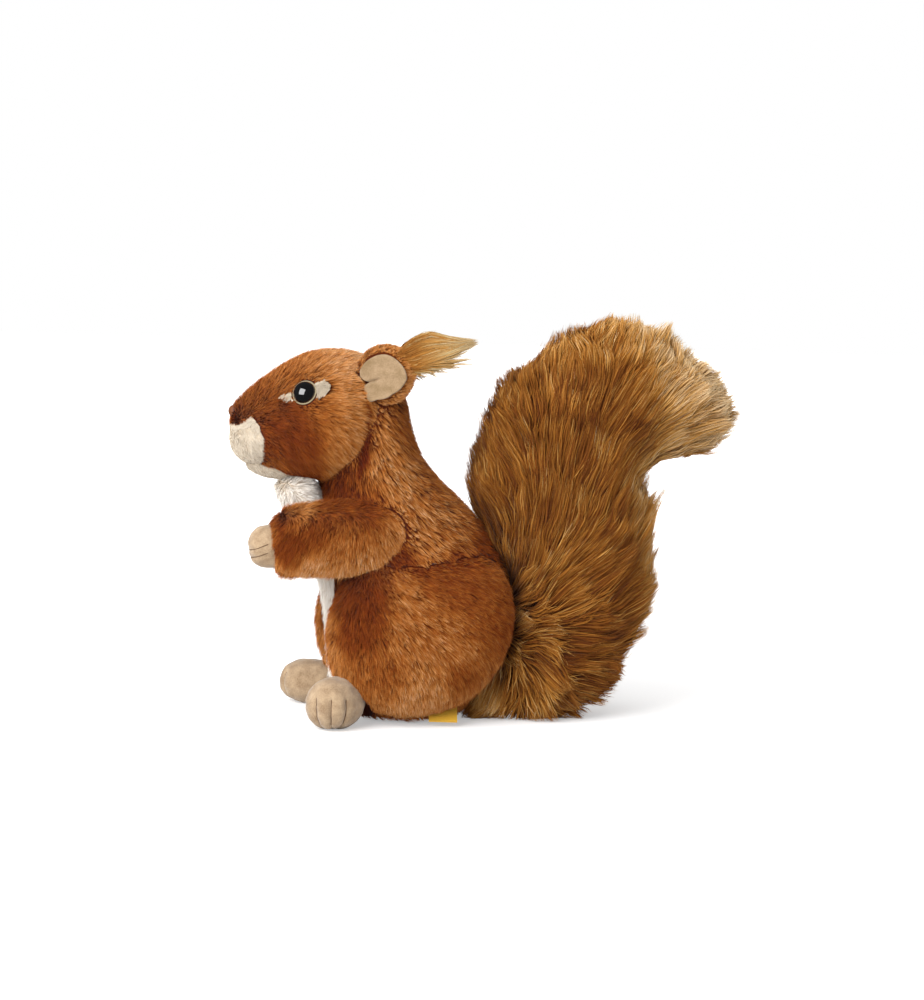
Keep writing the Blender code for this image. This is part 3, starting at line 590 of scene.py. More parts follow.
# Reach and height in mm of the muzzle's hem and of the fold between the cheek and the neck
HEM = ((-96, -90.6, -84.6, -80.9, -79.2, -78.4), (146.0, 145.0, 150.2, 146, 141, 100))
FOLD = ((-37.0, -31.2, -29.6, -30.4, -33.0), (118, 131, 140, 158, 165))


def lids(points):
    """1 in the two pale patches at the corners of an eye, 0 away from them."""
    depth = np.maximum(inside(points, REAR_LID), inside(points, FRONT_LID))
    return smoothstep(-0.35, 0.35, depth + 0.5 * waves(points, 1.6 * MM, 5))


def muzzle_patch(points):
    """1 on the cream snout, under a hem that rises to a peak on each side, 0 behind it."""
    y, z = points[:, 1] / MM, points[:, 2] / MM
    return smoothstep(-0.4, 0.4, np.interp(y, *HEM) - z + 0.4 * waves(points, 1.5 * MM, 6))


def behind_fold(points):
    """Height of each place, and how far it lies behind the fold of cheek and neck, in mm."""
    z = points[:, 2] / MM
    return z, points[:, 1] / MM - np.interp(z, FOLD[1], FOLD[0])


def crease(points):
    """1 along the fold between the cheek and the neck, falling off by exp(-(d / 1.7)^2)."""
    z, away = behind_fold(points)
    return np.exp(-(away / 1.7) ** 2) * smoothstep(162, 156, z) * smoothstep(122, 130, z)


def nape(points):
    """0 on the cheek, 1 on the neck side of the fold, below the ear."""
    z, away = behind_fold(points)
    return smoothstep(-1, 1.5, away) * smoothstep(163, 157, z)


def coat_of(rows, base_tone, base_frost):
    """A tone map: t = sum(w t) / sum(w), with w = exp(-(d / spread)^2) for each row at distance d.

    The base tone and frost have a small weight all over. The fold behind the cheek gets painted
    shade: its tone drops by half the crease and its frost fades out.
    """
    rows = np.array(rows, dtype=float)

    def coat(points):
        away = (points[:, 1:2] / MM - rows[:, 0]) ** 2 + (points[:, 2:3] / MM - rows[:, 1]) ** 2
        weight = np.exp(-away / rows[:, 2] ** 2)
        total = weight.sum(axis=1) + BASE_WEIGHT
        tone = (weight @ rows[:, 3] + BASE_WEIGHT * base_tone) / total
        frost = (weight @ rows[:, 4] + BASE_WEIGHT * base_frost) / total
        # Painted shade along the fold between the cheek and the neck.
        fold = crease(points)
        return tone - 0.5 * fold, frost * (1 - fold)
    return coat


def flat_coat(tone, frost):
    """A dye map with one tone and one share of frost all over."""
    def coat(points):
        return np.full(len(points), tone), np.full(len(points), frost)
    return coat


def lid_coat(points):
    """The lids are a shade darker than the snout."""
    return 0.36 - 0.24 * lids(points), np.full(len(points), 0.25)


def is_muzzle(points):
    """Where the snout is cream."""
    return muzzle_patch(points) > 0.5


def is_cream(points):
    """Where the head is cream: the lids and the snout."""
    return np.maximum(lids(points), muzzle_patch(points)) > 0.5


def head_fade(points):
    """0 by the eyes, the lids, the muzzle and the nose, 1 on the full coat."""
    nose = np.linalg.norm(points - node_centre("nose"), axis=1) / MM
    bare = np.maximum(lids(points), muzzle_patch(points))
    fade = np.minimum(smoothstep(5.5, 12.0, eye_distance(points)), smoothstep(1.5, 5.0, nose))
    return fade * (1 - bare)


def head_depth(points):
    """Roots from 0.5 mm deep by the eyes to 2.2 mm on the full coat."""
    return (0.5 + 1.7 * head_fade(points)) * MM


def head_rise(points):
    """Tips from 0.25 mm over by the eyes to 1.25 mm on the full coat, and longest at the throat."""
    throat = 2.4 * spot(points, -50, 121, 4)
    return (0.25 + throat + 1.0 * head_fade(points) * (1 - 0.8 * crease(points))) * MM


def body_rise(points):
    """Tips 1 mm over, longer at the wrists and at the throat, and short in the fold of the neck."""
    wrist = smoothstep(-52, -68, points[:, 1] / MM) * smoothstep(104, 96, points[:, 2] / MM)
    throat = spot(points, -50, 116, 5)
    return (1.0 + 0.9 * wrist + 2.4 * throat) * (1 - 0.8 * crease(points)) * MM


def swept(back, down):
    """A comb's direction at each place, from how far it runs back and down the side."""
    return np.stack([np.zeros(len(back)), back, -down], axis=1)


def head_comb(points, normals):
    """Back from the snout, and down over the cheeks."""
    y, z = points[:, 1] / MM, points[:, 2] / MM
    down = 0.10 + 0.80 * smoothstep(166, 132, z) * smoothstep(-82, -50, y) + 0.9 * nape(points)
    return swept(np.ones(len(points)), down)


def torso_comb(points, normals):
    """Down the neck and back, swept backwards over the shoulders."""
    z = points[:, 2] / MM
    back = 0.55 + 0.35 * smoothstep(120, 95, z)
    return swept(back, np.ones(len(points)))


def bib_comb(points, normals):
    """Down the chest, and back round the sides of the throat."""
    y, z = points[:, 1] / MM, points[:, 2] / MM
    back = 0.3 + 2.2 * smoothstep(-76, -54, y) * smoothstep(104, 114, z)
    return swept(back, np.ones(len(points)))


def haunch_comb(points, normals):
    """Back from the knee at the top, down below."""
    y, z = points[:, 1] / MM, points[:, 2] / MM
    back = 0.15 + 1.25 * smoothstep(-45, 5, y) * smoothstep(12, 62, z)
    return swept(back, np.ones(len(points)))


def arm_comb(points, normals):
    """Down round the sleeve, to the wrist in front, and back at the shoulder and along the top."""
    top = smoothstep(0.3, 0.9, normals[:, 2])
    back = -0.30 + 0.75 * smoothstep(-50, -10, points[:, 1] / MM) + 1.6 * top
    return swept(back, np.ones(len(points)))


def pile_look(settings, **changes):
    """The short pile's measures, in metres and radians."""
    look = {
        "depth": settings.pile_depth, "rise": settings.pile_rise, "lean": settings.pile_lean,
        "width": settings.blade_width, "clump": 0.006, "mat": 0.14, "stray": 0.10,
        "lock": 9, "pull": 0.42,
    }
    return look | changes


def velour_look(settings, depth, rise, lean):
    """The short even fibre of the cream panels."""
    return pile_look(settings, depth=depth, rise=rise, lean=lean, width=0.0004, mat=0.06,
                     stray=0.05)


class PileSettings(bpy.types.PropertyGroup):
    pile_depth: FloatProperty(
        name="Pile depth", description="How deep the roots lie under the outline",
        default=0.0021, min=0.0005, max=0.006, subtype="DISTANCE", unit="LENGTH")
    pile_rise: FloatProperty(
        name="Pile rise", description="How far the tips stand over the outline",
        default=0.0012, min=0.0, max=0.006, subtype="DISTANCE", unit="LENGTH")
    pile_lean: FloatProperty(
        name="Pile lean", description="How far the pile is brushed over",
        default=math.radians(44), min=0.0, max=1.4, subtype="ANGLE")
    blade_width: FloatProperty(
        name="Fibre width", description="Width of one drawn tuft of fibre",
        default=0.00038, min=0.0001, max=0.002, subtype="DISTANCE", unit="LENGTH")
    tail_length: FloatProperty(
        name="Tail pile length", description="Length of the tail's long pile",
        default=0.034, min=0.01, max=0.05, subtype="DISTANCE", unit="LENGTH")
    seed: IntProperty(
        name="Seed", description="Which arrangement of the fibres is drawn", default=7, min=0)


class TrimSettings(bpy.types.PropertyGroup):
    eye_diameter: FloatProperty(
        name="Eye diameter", description="Across the dome of a safety eye",
        default=0.0112, min=0.006, max=0.02, subtype="DISTANCE", unit="LENGTH")
    eye_rise: FloatProperty(
        name="Eye rise", description="Height of the dome of a safety eye",
        default=0.0042, min=0.001, max=0.01, subtype="DISTANCE", unit="LENGTH")
    label_colour: FloatVectorProperty(
        name="Label colour", description="Colour of the woven tab",
        default=srgb("#fcc43a")[:3], size=3, min=0.0, max=1.0, subtype="COLOR")


class StageSettings(bpy.types.PropertyGroup):
    key_power: FloatProperty(
        name="Key light", description="Power of the large overhead softbox",
        default=9.0, min=0.0, max=200.0, unit="POWER")
    front_power: FloatProperty(
        name="Front light", description="Power of the softbox by the camera",
        default=16.0, min=0.0, max=200.0, unit="POWER")
    room_level: FloatProperty(
        name="Room light", description="Level of the light from all round",
        default=0.62, min=0.0, max=2.0)


def make_materials():
    """The finishes that several pieces share."""
    brown = ((0.0, "#6a2504"), (0.14, "#853e0c"), (0.32, "#aa6224"), (0.50, "#cc8a4a"),
             (0.70, "#e2b482"), (0.88, "#eed6b4"), (1.0, "#f6ead8"))
    tail = ((0.0, "#5a2a08"), (0.20, "#7e4610"), (0.42, "#a86c26"), (0.65, "#cc9a54"),
            (1.0, "#ead0a6"))
    golden = ((0.0, "#a86a22"), (0.25, "#b88440"), (0.5, "#b89e6e"), (1.0, "#dccfb0"))
    cream = ((0.0, "#c2b39c"), (0.5, "#dacebd"), (0.8, "#efe6da"), (1.0, "#f6f1ea"))
    label = bpy.context.scene.plush_trim.label_colour
    # The piles look brushed: deep at the roots, bleached at the tips, glossier the longer they are.
    # The third colour of each pile is its painted root shade, the shadow deep in the pile.
    # Velour is matt and mottled. The eye's plastic is smooth under a clear gloss that mirrors the
    # softbox, the washer's has a dull moulded skin, and felt and thread are rough and uneven.
    MATERIALS.update(
        brown=pile_material("Brushed brown acrylic pile", brown, "#a09084", 0.50, 0.8),
        tail=pile_material("Long brushed brown pile", tail, "#86705c", 0.45, 0.7),
        golden=pile_material("Long golden pile", golden, "#c0ac90", 0.20, 0.7),
        cream=pile_material("Cream velour pile", cream, "#f2ece4", 0.80, 0.9),
        beige=velour_material("Beige velour", "#b39a7c", "#8c7358", 5.0, 0.6),
        lining=velour_material("Pink-beige ear velour", "#a2886a", "#836b4c", 6.0, 0.6),
        eye=plain_material("Glossy black safety-eye plastic", "#050506", 0.08, 3.0, 0.1, 1.0),
        felt=plain_material("Pale felt", "#a89878", 0.9, 0.6, 0.35),
        washer=plain_material("White moulded plastic", "#e6e6e0", 0.4, 2.0, 0.06),
        thread=plain_material("Brown polyester thread", "#7a4420", 0.6, 0.3, 0.3),
        stitch=plain_material("Tan sewing thread", "#6e5238", 0.7, 0.3, 0.3),
        label=weave_material("Yellow woven ribbon", label, 0.5),
    )


class PLUSH_OT_body(bpy.types.Operator):
    """Short brown pile over the trunk, the haunches and the sleeves"""

    bl_idname = "plush.body"
    bl_label = "Body pile"

    def execute(self, context):
        settings = context.scene.plush_pile
        body, arm, haunch = (coat_of(rows, 0.30, 0.6)
                             for rows in (BODY_COAT, ARM_COAT, HAUNCH_COAT))
        rows = (
            ("torso", 120000, torso_comb, body),
            ("haunch_left", 104000, haunch_comb, haunch),
            ("haunch_right", 70000, haunch_comb, haunch),
            ("arm_left", 60000, arm_comb, arm),
            ("arm_right", 40000, arm_comb, arm),
        )
        look = pile_look(settings, rise=body_rise)
        for k, (node, count, comb, coat) in enumerate(rows):
            draw = np.random.default_rng(settings.seed + k)
            dress("pile_" + node, node, count, look, comb, coat, draw, "brown")
        return {"FINISHED"}


class PLUSH_OT_head(bpy.types.Operator):
    """Short pile over the head and the ear shells, with pale lids at the eyes"""

    bl_idname = "plush.head"
    bl_label = "Head pile"

    def execute(self, context):
        settings = context.scene.plush_pile
        draw = np.random.default_rng(settings.seed + SEED_STEPS["head"])
        look = pile_look(settings, depth=head_depth, rise=head_rise, clump=0.005)
        dress("pile_head", "head", 120000, look, head_comb, coat_of(HEAD_COAT, 0.34, 0.4), draw,
              "brown", where=lambda places: ~is_cream(places))
        look = velour_look(settings, 0.0004, 0.0005, 1.1)
        dress("velour_lids", "head", 600000, look, towards(0.0, -0.4, -1.0), lid_coat, draw,
              "cream", skin_tone=None, where=is_cream)
        look = pile_look(settings, depth=0.0009, rise=0.0008, clump=0.004)
        for suffix in SIDES:
            dress("pile_ear_" + suffix, "ear_" + suffix, 15000, look, towards(0.0, 1.0, 0.15),
                  flat_coat(0.48, 0.4), draw, "brown", skin_tone=0.3)
        return {"FINISHED"}


class PLUSH_OT_cream(bpy.types.Operator):
    """Cream pile of the muzzle, the chin and the bib"""

    bl_idname = "plush.cream"
    bl_label = "Cream panels"

    def execute(self, context):
        settings = context.scene.plush_pile
        draw = np.random.default_rng(settings.seed + SEED_STEPS["cream"])
        face, chest = (velour_look(settings, *row)
                       for row in ((0.0004, 0.0005, 1.0), (0.0009, 0.0022, 0.8)))
        rows = (
            ("muzzle", 30000, face, towards(0.0, 0.6, -0.6), 0.36, is_muzzle),
            ("chin", 10000, face, towards(0.0, 1.0, -0.5), 0.36, None),
            ("chest_bib", 34000, chest, bib_comb, 0.95, None),
        )
        for node, count, look, comb, tone, where in rows:
            dress("velour_" + node, node, count, look, comb, flat_coat(tone, 0.2), draw,
                  "cream", skin_tone=tone, where=where)
        look = pile_look(settings, depth=0.0006, rise=0.0012, clump=0.004)
        dress("pile_muzzle_edge", "muzzle", 24000, look, head_comb, coat_of(HEAD_COAT, 0.2, 0.2),
              draw, "brown", skin_tone=None, where=lambda places: ~is_muzzle(places))
        return {"FINISHED"}


def tail_flow(points):
    """Direction of the tail's pile: the rows of TAIL_FLOW, weighted by 1 / distance^4."""
    rows = np.array(TAIL_FLOW, dtype=float)
    away = (points[:, None, 1] / MM - rows[:, 0]) ** 2 + (points[:, None, 2] / MM - rows[:, 1]) ** 2
    weight = 1 / (away + 9) ** 2
    turn = np.radians(rows[:, 2])
    way = np.stack([np.zeros(len(rows)), np.cos(turn), np.sin(turn)], axis=1)
    return unit(weight @ way)


def tail_tone_and_painted_light(points):
    """Mid brown, with painted light up the crown and the outer edge, where light shines through the
    thin tips, and over the foot in the haunch's shadow, painted shade in three partings, and a
    faint darker patch in the middle.
    """
    y, z = points[:, 1] / MM, points[:, 2] / MM
    tone = 0.25 + 0.22 * smoothstep(150, 192, z) + 0.44 * smoothstep(90, 118, y)
    tone += 0.46 * smoothstep(122, 148, y) - 0.04 * spot(points, 75, 45, 22)
    tone += 0.24 * spot(points, 46, 25, 20) + 0.10 * spot(points, 50, 60, 18)
    return tone - 0.40 * partings(points)


def partings(points):
    """1 in the three dark partings of the tail, where the locks fall apart."""
    return np.maximum.reduce([spot(points, 74, 158, 4), spot(points, 74, 133, 5),
                              spot(points, 94, 136, 5)])


def hold_near(lines, over, tree):
    """Bends blades to the surface, so that each point past the root lies in a band over it.

    The band's top is over s at share s of the blade's length, and its foot a quarter of that.
    """
    steps = lines.shape[1] - 1
    for row in range(1, steps + 1):
        allowed = over * row / steps
        for k, point in enumerate(lines[:, row].tolist()):
            found, normal, _, distance = tree.find_nearest(point)
            away = Vector(point) - found
            height = distance if away.dot(normal) > 0 else -distance
            if height > allowed[k]:
                lines[k, row] -= np.array(away) * (1 - allowed[k] / distance)
            elif height < 0.25 * allowed[k]:
                lines[k, row] = np.array(found + normal * (0.25 * allowed[k]))
    return lines


def notch(points):
    """1 where the tail's outer edge folds in under its tip, and the hair is short."""
    return spot(points, 110, 113, 17)


class PLUSH_OT_tail(bpy.types.Operator):
    """Long pile of the tail, gathered in locks"""

    bl_idname = "plush.tail"
    bl_label = "Tail pile"

    def execute(self, context):
        settings = context.scene.plush_pile
        draw = np.random.default_rng(settings.seed + SEED_STEPS["tail"])
        tree = neighbours_tree("tail")
        surface = cad_surface("tail", tree)
        place, normal = scatter(*surface, TAIL_STRANDS, draw)
        room = room_beside(tree, place, LONG_REACH)
        keep = (room > SEAM) & (place[:, 2] > 0.0006)
        place, normal, room = place[keep], normal[keep], room[keep]
        group = nearest(place, place[:TAIL_LOCKS])
        lines = self.strands(place, normal, room, group, settings.tail_length, draw)
        own = BVHTree.FromPolygons(surface[0].tolist(), surface[2].tolist())
        lines = hold_near(lines, self.heights(place, group, draw), own)
        lines = gather(lines, group, TAIL_LOCKS, 0.38)
        small = len(place) // 12
        fine = nearest(place, place[:small])
        lines = gather(lines, fine, small, 0.35)
        # The tail's tone carries painted light up the crown, the outer edge and the shaded foot,
        # and painted shade in the partings; the lock, tuft and hair jitter and the pale hairs are
        # the pile's own mottling.
        colouring = tail_tone_and_painted_light(place) + draw.normal(0, 0.055, TAIL_LOCKS)[group]
        colouring += draw.normal(0, 0.08, small)[fine] + draw.normal(0, 0.06, len(place))
        colouring += 0.25 * (draw.random(len(place)) < 0.18)
        width = 0.00048 * draw.uniform(0.6, 1.3, len(place))
        points, normals, faces = finer(*surface)
        depth = inset(np.full(len(points), 0.0038), room_beside(tree, points, LONG_REACH))
        skin = ground(points, normals, faces, depth, 0.6)
        left = place[:, 0] > 0
        for suffix, half, more in (("left", left, [skin]), ("right", ~left, [])):
            hair = blades(lines[half], width[half], colouring[half], normal[half], draw)
            mesh_piece("pile_tail_" + suffix, more + [hair], "tail", "tail")
        return {"FINISHED"}

    def strands(self, place, normal, room, group, length, draw):
        """Lines p = root + length (start (s - s^2 / 2) + end s^2 / 2), at shares s of the hair."""
        flow = tail_flow(place)
        turned = draw.normal(0, 0.13, (TAIL_LOCKS, 3))[group]
        flow = flow - normal * np.minimum((flow * normal).sum(axis=1), 0)[:, None]
        flow = unit(flow + normal * 0.05)
        start = unit(normal * 0.50 + flow + draw.normal(0, 0.10, flow.shape))
        end = unit(flow + normal * 0.15 + turned + draw.normal(0, 0.06, flow.shape))
        length = length * draw.uniform(0.75, 1.2, TAIL_LOCKS)[group]
        length = length * draw.uniform(0.75, 1.1, len(place)) * (1 - 0.6 * notch(place))
        depth = inset((4.2 - 2.6 * spot(place, 46, 48, 22)) * MM, room)
        root = place - normal * depth[:, None]
        s = np.linspace(0, 1, 4)[None, :, None]
        return root[:, None] + length[:, None, None] * (
            start[:, None] * (s - 0.5 * s ** 2) + end[:, None] * 0.5 * s ** 2)

    def heights(self, place, group, draw):
        """How high in metres each hair's tip may stand over the tail's solid."""
        y, z = place[:, 1] / MM, place[:, 2] / MM
        lifted = draw.gamma(1.6, 1.1, TAIL_LOCKS)[group] + draw.exponential(1.5, len(place))
        loose = draw.exponential(1.0, len(place))
        inner = smoothstep(66, 46, y) * smoothstep(50, 75, z) * (z < 165)
        edges = 2.5 * spot(place, 98, 198, 14) + 4.0 * spot(place, 45, 12, 12)
        edges += (3.0 * loose - 2.5) * smoothstep(128, 145, y) + 2.0 * loose * inner
        parted, clear = partings(place), notch(place)
        over = 0.6 + (lifted + edges) * (1 - clear) - 1.5 * parted
        wisps = 4.0 * (draw.random(TAIL_LOCKS) < 0.10)[group] * (parted + clear < 0.3)
        return np.clip((over + wisps) * MM, 0.0004, 0.0115)


# Lower and upper edge of an ear tuft: shares of its length, and mm from its middle line
TUFT_EDGES = (
    ((-0.20, 0.0, 0.13, 0.35, 0.6, 0.8, 1.0), (-4.0, -8.6, -7.4, -5.6, -4.2, -2.8, -0.2)),
    ((-0.20, 0.0, 0.20, 0.40, 0.6, 0.8, 1.0), (1.0, 6.6, 8.8, 8.6, 5.0, 2.2, 0.2)),
)


class PLUSH_OT_tufts(bpy.types.Operator):
    """Long golden tufts behind the ears"""

    bl_idname = "plush.tufts"
    bl_label = "Ear tufts"

    def execute(self, context):
        draw = np.random.default_rng(context.scene.plush_pile.seed + SEED_STEPS["tufts"])
        for suffix in SIDES:
            node = "ear_tuft_" + suffix
            points = cad_surface(node)[0]
            tip = points[points[:, 1].argmax()] + np.array((0.0, -0.0005, -0.0022))
            root = points[points[:, 1] < np.quantile(points[:, 1], 0.25)].mean(axis=0)
            along = unit(tip - root)
            out = unit(np.cross(along, np.array((0.0, 0.0, 1.0))))
            hair = self.strands(tip, along, out, np.cross(out, along), draw)
            mesh_piece("pile_" + node, [hair], "golden", node)
        return {"FINISHED"}

    def strands(self, tip, along, out, up, draw):
        """Hairs between the tuft's lower and upper edge, from a first to a last share of its run.

        A few of the lowest stray downwards, and the tuft is flattened towards its tip.
        """
        span, amount, locks = 0.0325, 4600, 260
        lock = draw.random(amount)
        first = draw.uniform(-0.20, 0.10, amount)
        last = first + (1.04 - first) * draw.uniform(0.10, 1.0, amount) ** 0.8
        share = np.linspace(0, 1, 4)
        reach = first[:, None] + (last - first)[:, None] * share
        stray = (draw.random(amount) < 0.5) & (lock < 0.12)
        lower, upper = (np.interp(reach, *edge) for edge in TUFT_EDGES)
        rise = lower + (upper - lower) * lock[:, None]
        rise += draw.normal(0, 0.9, amount)[:, None] * share ** 2
        rise -= np.where(stray, draw.uniform(1, 10, amount), 0)[:, None] * share ** 1.5
        depth = (0.5 + 3.0 * np.clip(1 - reach, 0, 1) ** 0.7) * draw.uniform(-1, 1, amount)[:, None]
        lines = (tip + along * (span * (reach - 1))[..., None] + up * (rise * MM)[..., None]
                 + out * (depth * MM)[..., None])
        ends = lines[:, -1]
        lines = gather(lines, nearest(ends, ends[:locks]), locks, 0.75)
        colouring = 0.50 + draw.normal(0, 0.16, amount)
        width = 0.00042 * draw.uniform(0.6, 1.2, amount)
        return blades(lines, width, colouring, np.broadcast_to(out, (amount, 3)), draw)


def grid_faces(rows, columns):
    """Triangles of a grid that closes round its columns."""
    row, column = np.meshgrid(np.arange(rows - 1), np.arange(columns), indexing="ij")
    after = (column + 1) % columns
    a, b = row * columns + column, row * columns + after
    c, d = b + columns, a + columns
    first = np.stack([a, b, c], axis=-1).reshape(-1, 3)
    second = np.stack([a, c, d], axis=-1).reshape(-1, 3)
    return np.concatenate([first, second])


def grid_piece(name, grids, finish, nodes):
    """One piece of closed surfaces, each a grid of rows round a line."""
    points, faces, start = [], [], 0
    for grid in grids:
        rows, columns = grid.shape[:2]
        points.append(grid.reshape(-1, 3))
        faces.append(grid_faces(rows, columns) + start)
        start += rows * columns
    mesh = bpy.data.meshes.new(name)
    mesh.from_pydata(np.concatenate(points).tolist(), [], np.concatenate(faces).tolist())
    work = bmesh.new()
    work.from_mesh(mesh)
    bmesh.ops.remove_doubles(work, verts=work.verts, dist=0.000002)
    bmesh.ops.dissolve_degenerate(work, edges=work.edges, dist=0.000001)
    bmesh.ops.recalc_face_normals(work, faces=work.faces)
    if work.calc_volume(signed=True) < 0:
        bmesh.ops.reverse_faces(work, faces=work.faces)
    work.to_mesh(mesh)
    work.free()
    mesh.shade_smooth()
    settle(mesh, finish, nodes)


def refinish(node, finish):
    """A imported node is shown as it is, in a new finish."""
    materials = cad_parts[node].data.materials
    materials.clear()
    materials.append(MATERIALS[finish])


def circle(amount):
    """Angles of so many places round a turn."""
    return np.arange(amount) * 2 * np.pi / amount


def rings(centre, out, height, radius, turn, side, top):
    """A profile turned about an axis: p = c + h n + r (u cos(a) + v sin(a))."""
    round_it = np.cos(turn)[:, None] * side + np.sin(turn)[:, None] * top
    return centre + height[:, None, None] * out + radius[:, None, None] * round_it


def tube(path, radius):
    """A thread along a path, drawn in to a point at both ends."""
    way = unit(np.gradient(path, axis=0))
    across = unit(np.cross(way, np.array((0.31, 0.17, 0.93))))
    lift = np.cross(way, across)
    turn = circle(6)
    girth = np.full(len(path), radius)
    girth[[0, -1]] = 0.0
    return path[:, None] + girth[:, None, None] * (
        np.cos(turn)[None, :, None] * across[:, None] + np.sin(turn)[None, :, None] * lift[:, None])


def paw_grid(tip, splay, size, seams, groove):
    """A soft paw: a superellipse carried along its length, drawn in along the seams of its toes.

    Girth at share s is (1 - |2 s - 1|^2.5)^(1 / 2.2). Each seam is a half plane from a point, along
    a direction and across another, and it is sunk by g exp(-(d / w)^2), d the distance from it.
    """
    width, length, height = size
    forward = np.array((math.sin(splay), -math.cos(splay), 0.0))
    across = np.array((math.cos(splay), math.sin(splay), 0.0))
    s = (1 - np.cos(np.linspace(0, np.pi, 72))) / 2
    turn = circle(120)
    girth = np.maximum(1 - np.abs(2 * s - 1) ** 2.5, 0) ** (1 / 2.2) * (0.92 + 0.09 * s)
    centre = np.asarray(tip) - forward * (length * (1 - s))[:, None, None]
    grid = centre + (girth[:, None] * np.cos(turn) * width / 2)[..., None] * across
    grid[..., 2] += girth[:, None] * np.sin(turn) * height / 2
    middle = np.asarray(tip) - forward * length * 0.4
    inward = unit(middle - grid)
    for start, way, plane_across in seams:
        off = (grid - start) @ unit(np.cross(way, plane_across))
        ahead = smoothstep(0.0, 0.005, (grid - start) @ way)
        low = smoothstep(0.0085, 0.0045, (grid - start) @ plane_across)
        sink = 0.75 * np.exp(-(off / 0.00055) ** 2) + 0.9 * np.exp(-(off / 0.0022) ** 2)
        grid = grid + inward * (groove * sink * ahead * low)[..., None]
    return grid


def seam_threads(grid, seams, spread):
    """The threads in a paw's seams: where rays in each seam's half plane leave the paw."""
    faces = grid_faces(*grid.shape[:2])
    tree = BVHTree.FromPolygons(grid.reshape(-1, 3).tolist(), faces.tolist())
    threads = []
    for start, way, plane_across in seams:
        path = []
        for angle in np.radians(np.linspace(*spread, 30)):
            ray = Vector(way * math.cos(angle) + plane_across * math.sin(angle))
            found = tree.ray_cast(Vector(start), ray)[0]
            if found is not None:
                path.append(np.array(found + ray * 0.00005))
        threads.append(tube(np.array(path), 0.00020))
    return threads


class PLUSH_OT_paws(bpy.types.Operator):
    """Velour hands and feet with their stitched toes"""

    bl_idname = "plush.paws"
    bl_label = "Paws"

    def execute(self, context):
        hand = (0.0180, 0.0228, 0.0215)
        foot, far_foot = (0.0262, 0.0315, 0.0270), (0.0256, 0.0360, 0.0238)
        rows = (
            ("hand_left", (0.0235, -0.0848, 0.0875), 0.0, hand,
             self.hand_seams(0.0235, -0.0740, 0.0875)),
            ("hand_right", (-0.0235, -0.0728, 0.0855), 0.0, hand,
             self.hand_seams(-0.0235, -0.0620, 0.0855)),
            ("foot_left", (0.0440, -0.0515, 0.0122), 48.0, foot,
             self.foot_seams(0.0330, -0.0420, 78)),
            ("foot_right", (-0.0360, -0.0615, 0.0106), -20.0, far_foot,
             self.foot_seams(-0.0310, -0.0480, -20)),
        )
        for node, tip, splay, size, seams in rows:
            groove, spread = (0.0004, (-80, 80)) if size is hand else (0.0009, (-35, 26))
            grid = paw_grid(tip, math.radians(splay), size, seams, groove)
            flat = grid.reshape(-1, 3)
            dent = np.stack([waves(flat, 6 * MM, 51 + k) for k in range(3)], axis=1)
            grid = (flat + 0.00022 * dent).reshape(grid.shape)
            grid[..., 2] = np.maximum(grid[..., 2], 0.0)
            grid_piece("velour_" + node, [grid], "beige", [node])
            grid_piece("stitch_" + node, seam_threads(grid, seams, spread), "stitch", [])
        return {"FINISHED"}

    def hand_seams(self, x, y, z):
        """Fingers lie one over the other, tipped down towards their ends."""
        way = unit(np.array((0.0, -1.0, -0.45)))
        across = np.array((1.0, 0.0, 0.0))
        return [(np.array((x, y, z + rise)), way, across) for rise in (0.0030, -0.0012)]

    def foot_seams(self, x, y, turn):
        """Toes fan out from the ball of the foot."""
        start = np.array((x, y, 0.0105))
        up = np.array((0.0, 0.0, 1.0))
        ways = [np.radians(turn + fan) for fan in (-34, 0, 34)]
        return [(start, np.array((math.sin(a), -math.cos(a), 0.0)), up) for a in ways]


EAR_TURN = math.radians(16)
EAR_TILT = math.radians(8)
# Outline of an ear lining, with the nick of its pleat: degrees round from the rear edge, and mm
LINING_EDGE = (
    (3, 49, 87, 122, 163, 179, 190, 196, 201, 206, 223, 243, 257, 305, 342),
    (11.6, 11.0, 11.7, 11.5, 11.9, 10.9, 8.6, 6.0, 9.4, 10.3, 11.6, 12.9, 10.4, 8.7, 10.2),
)


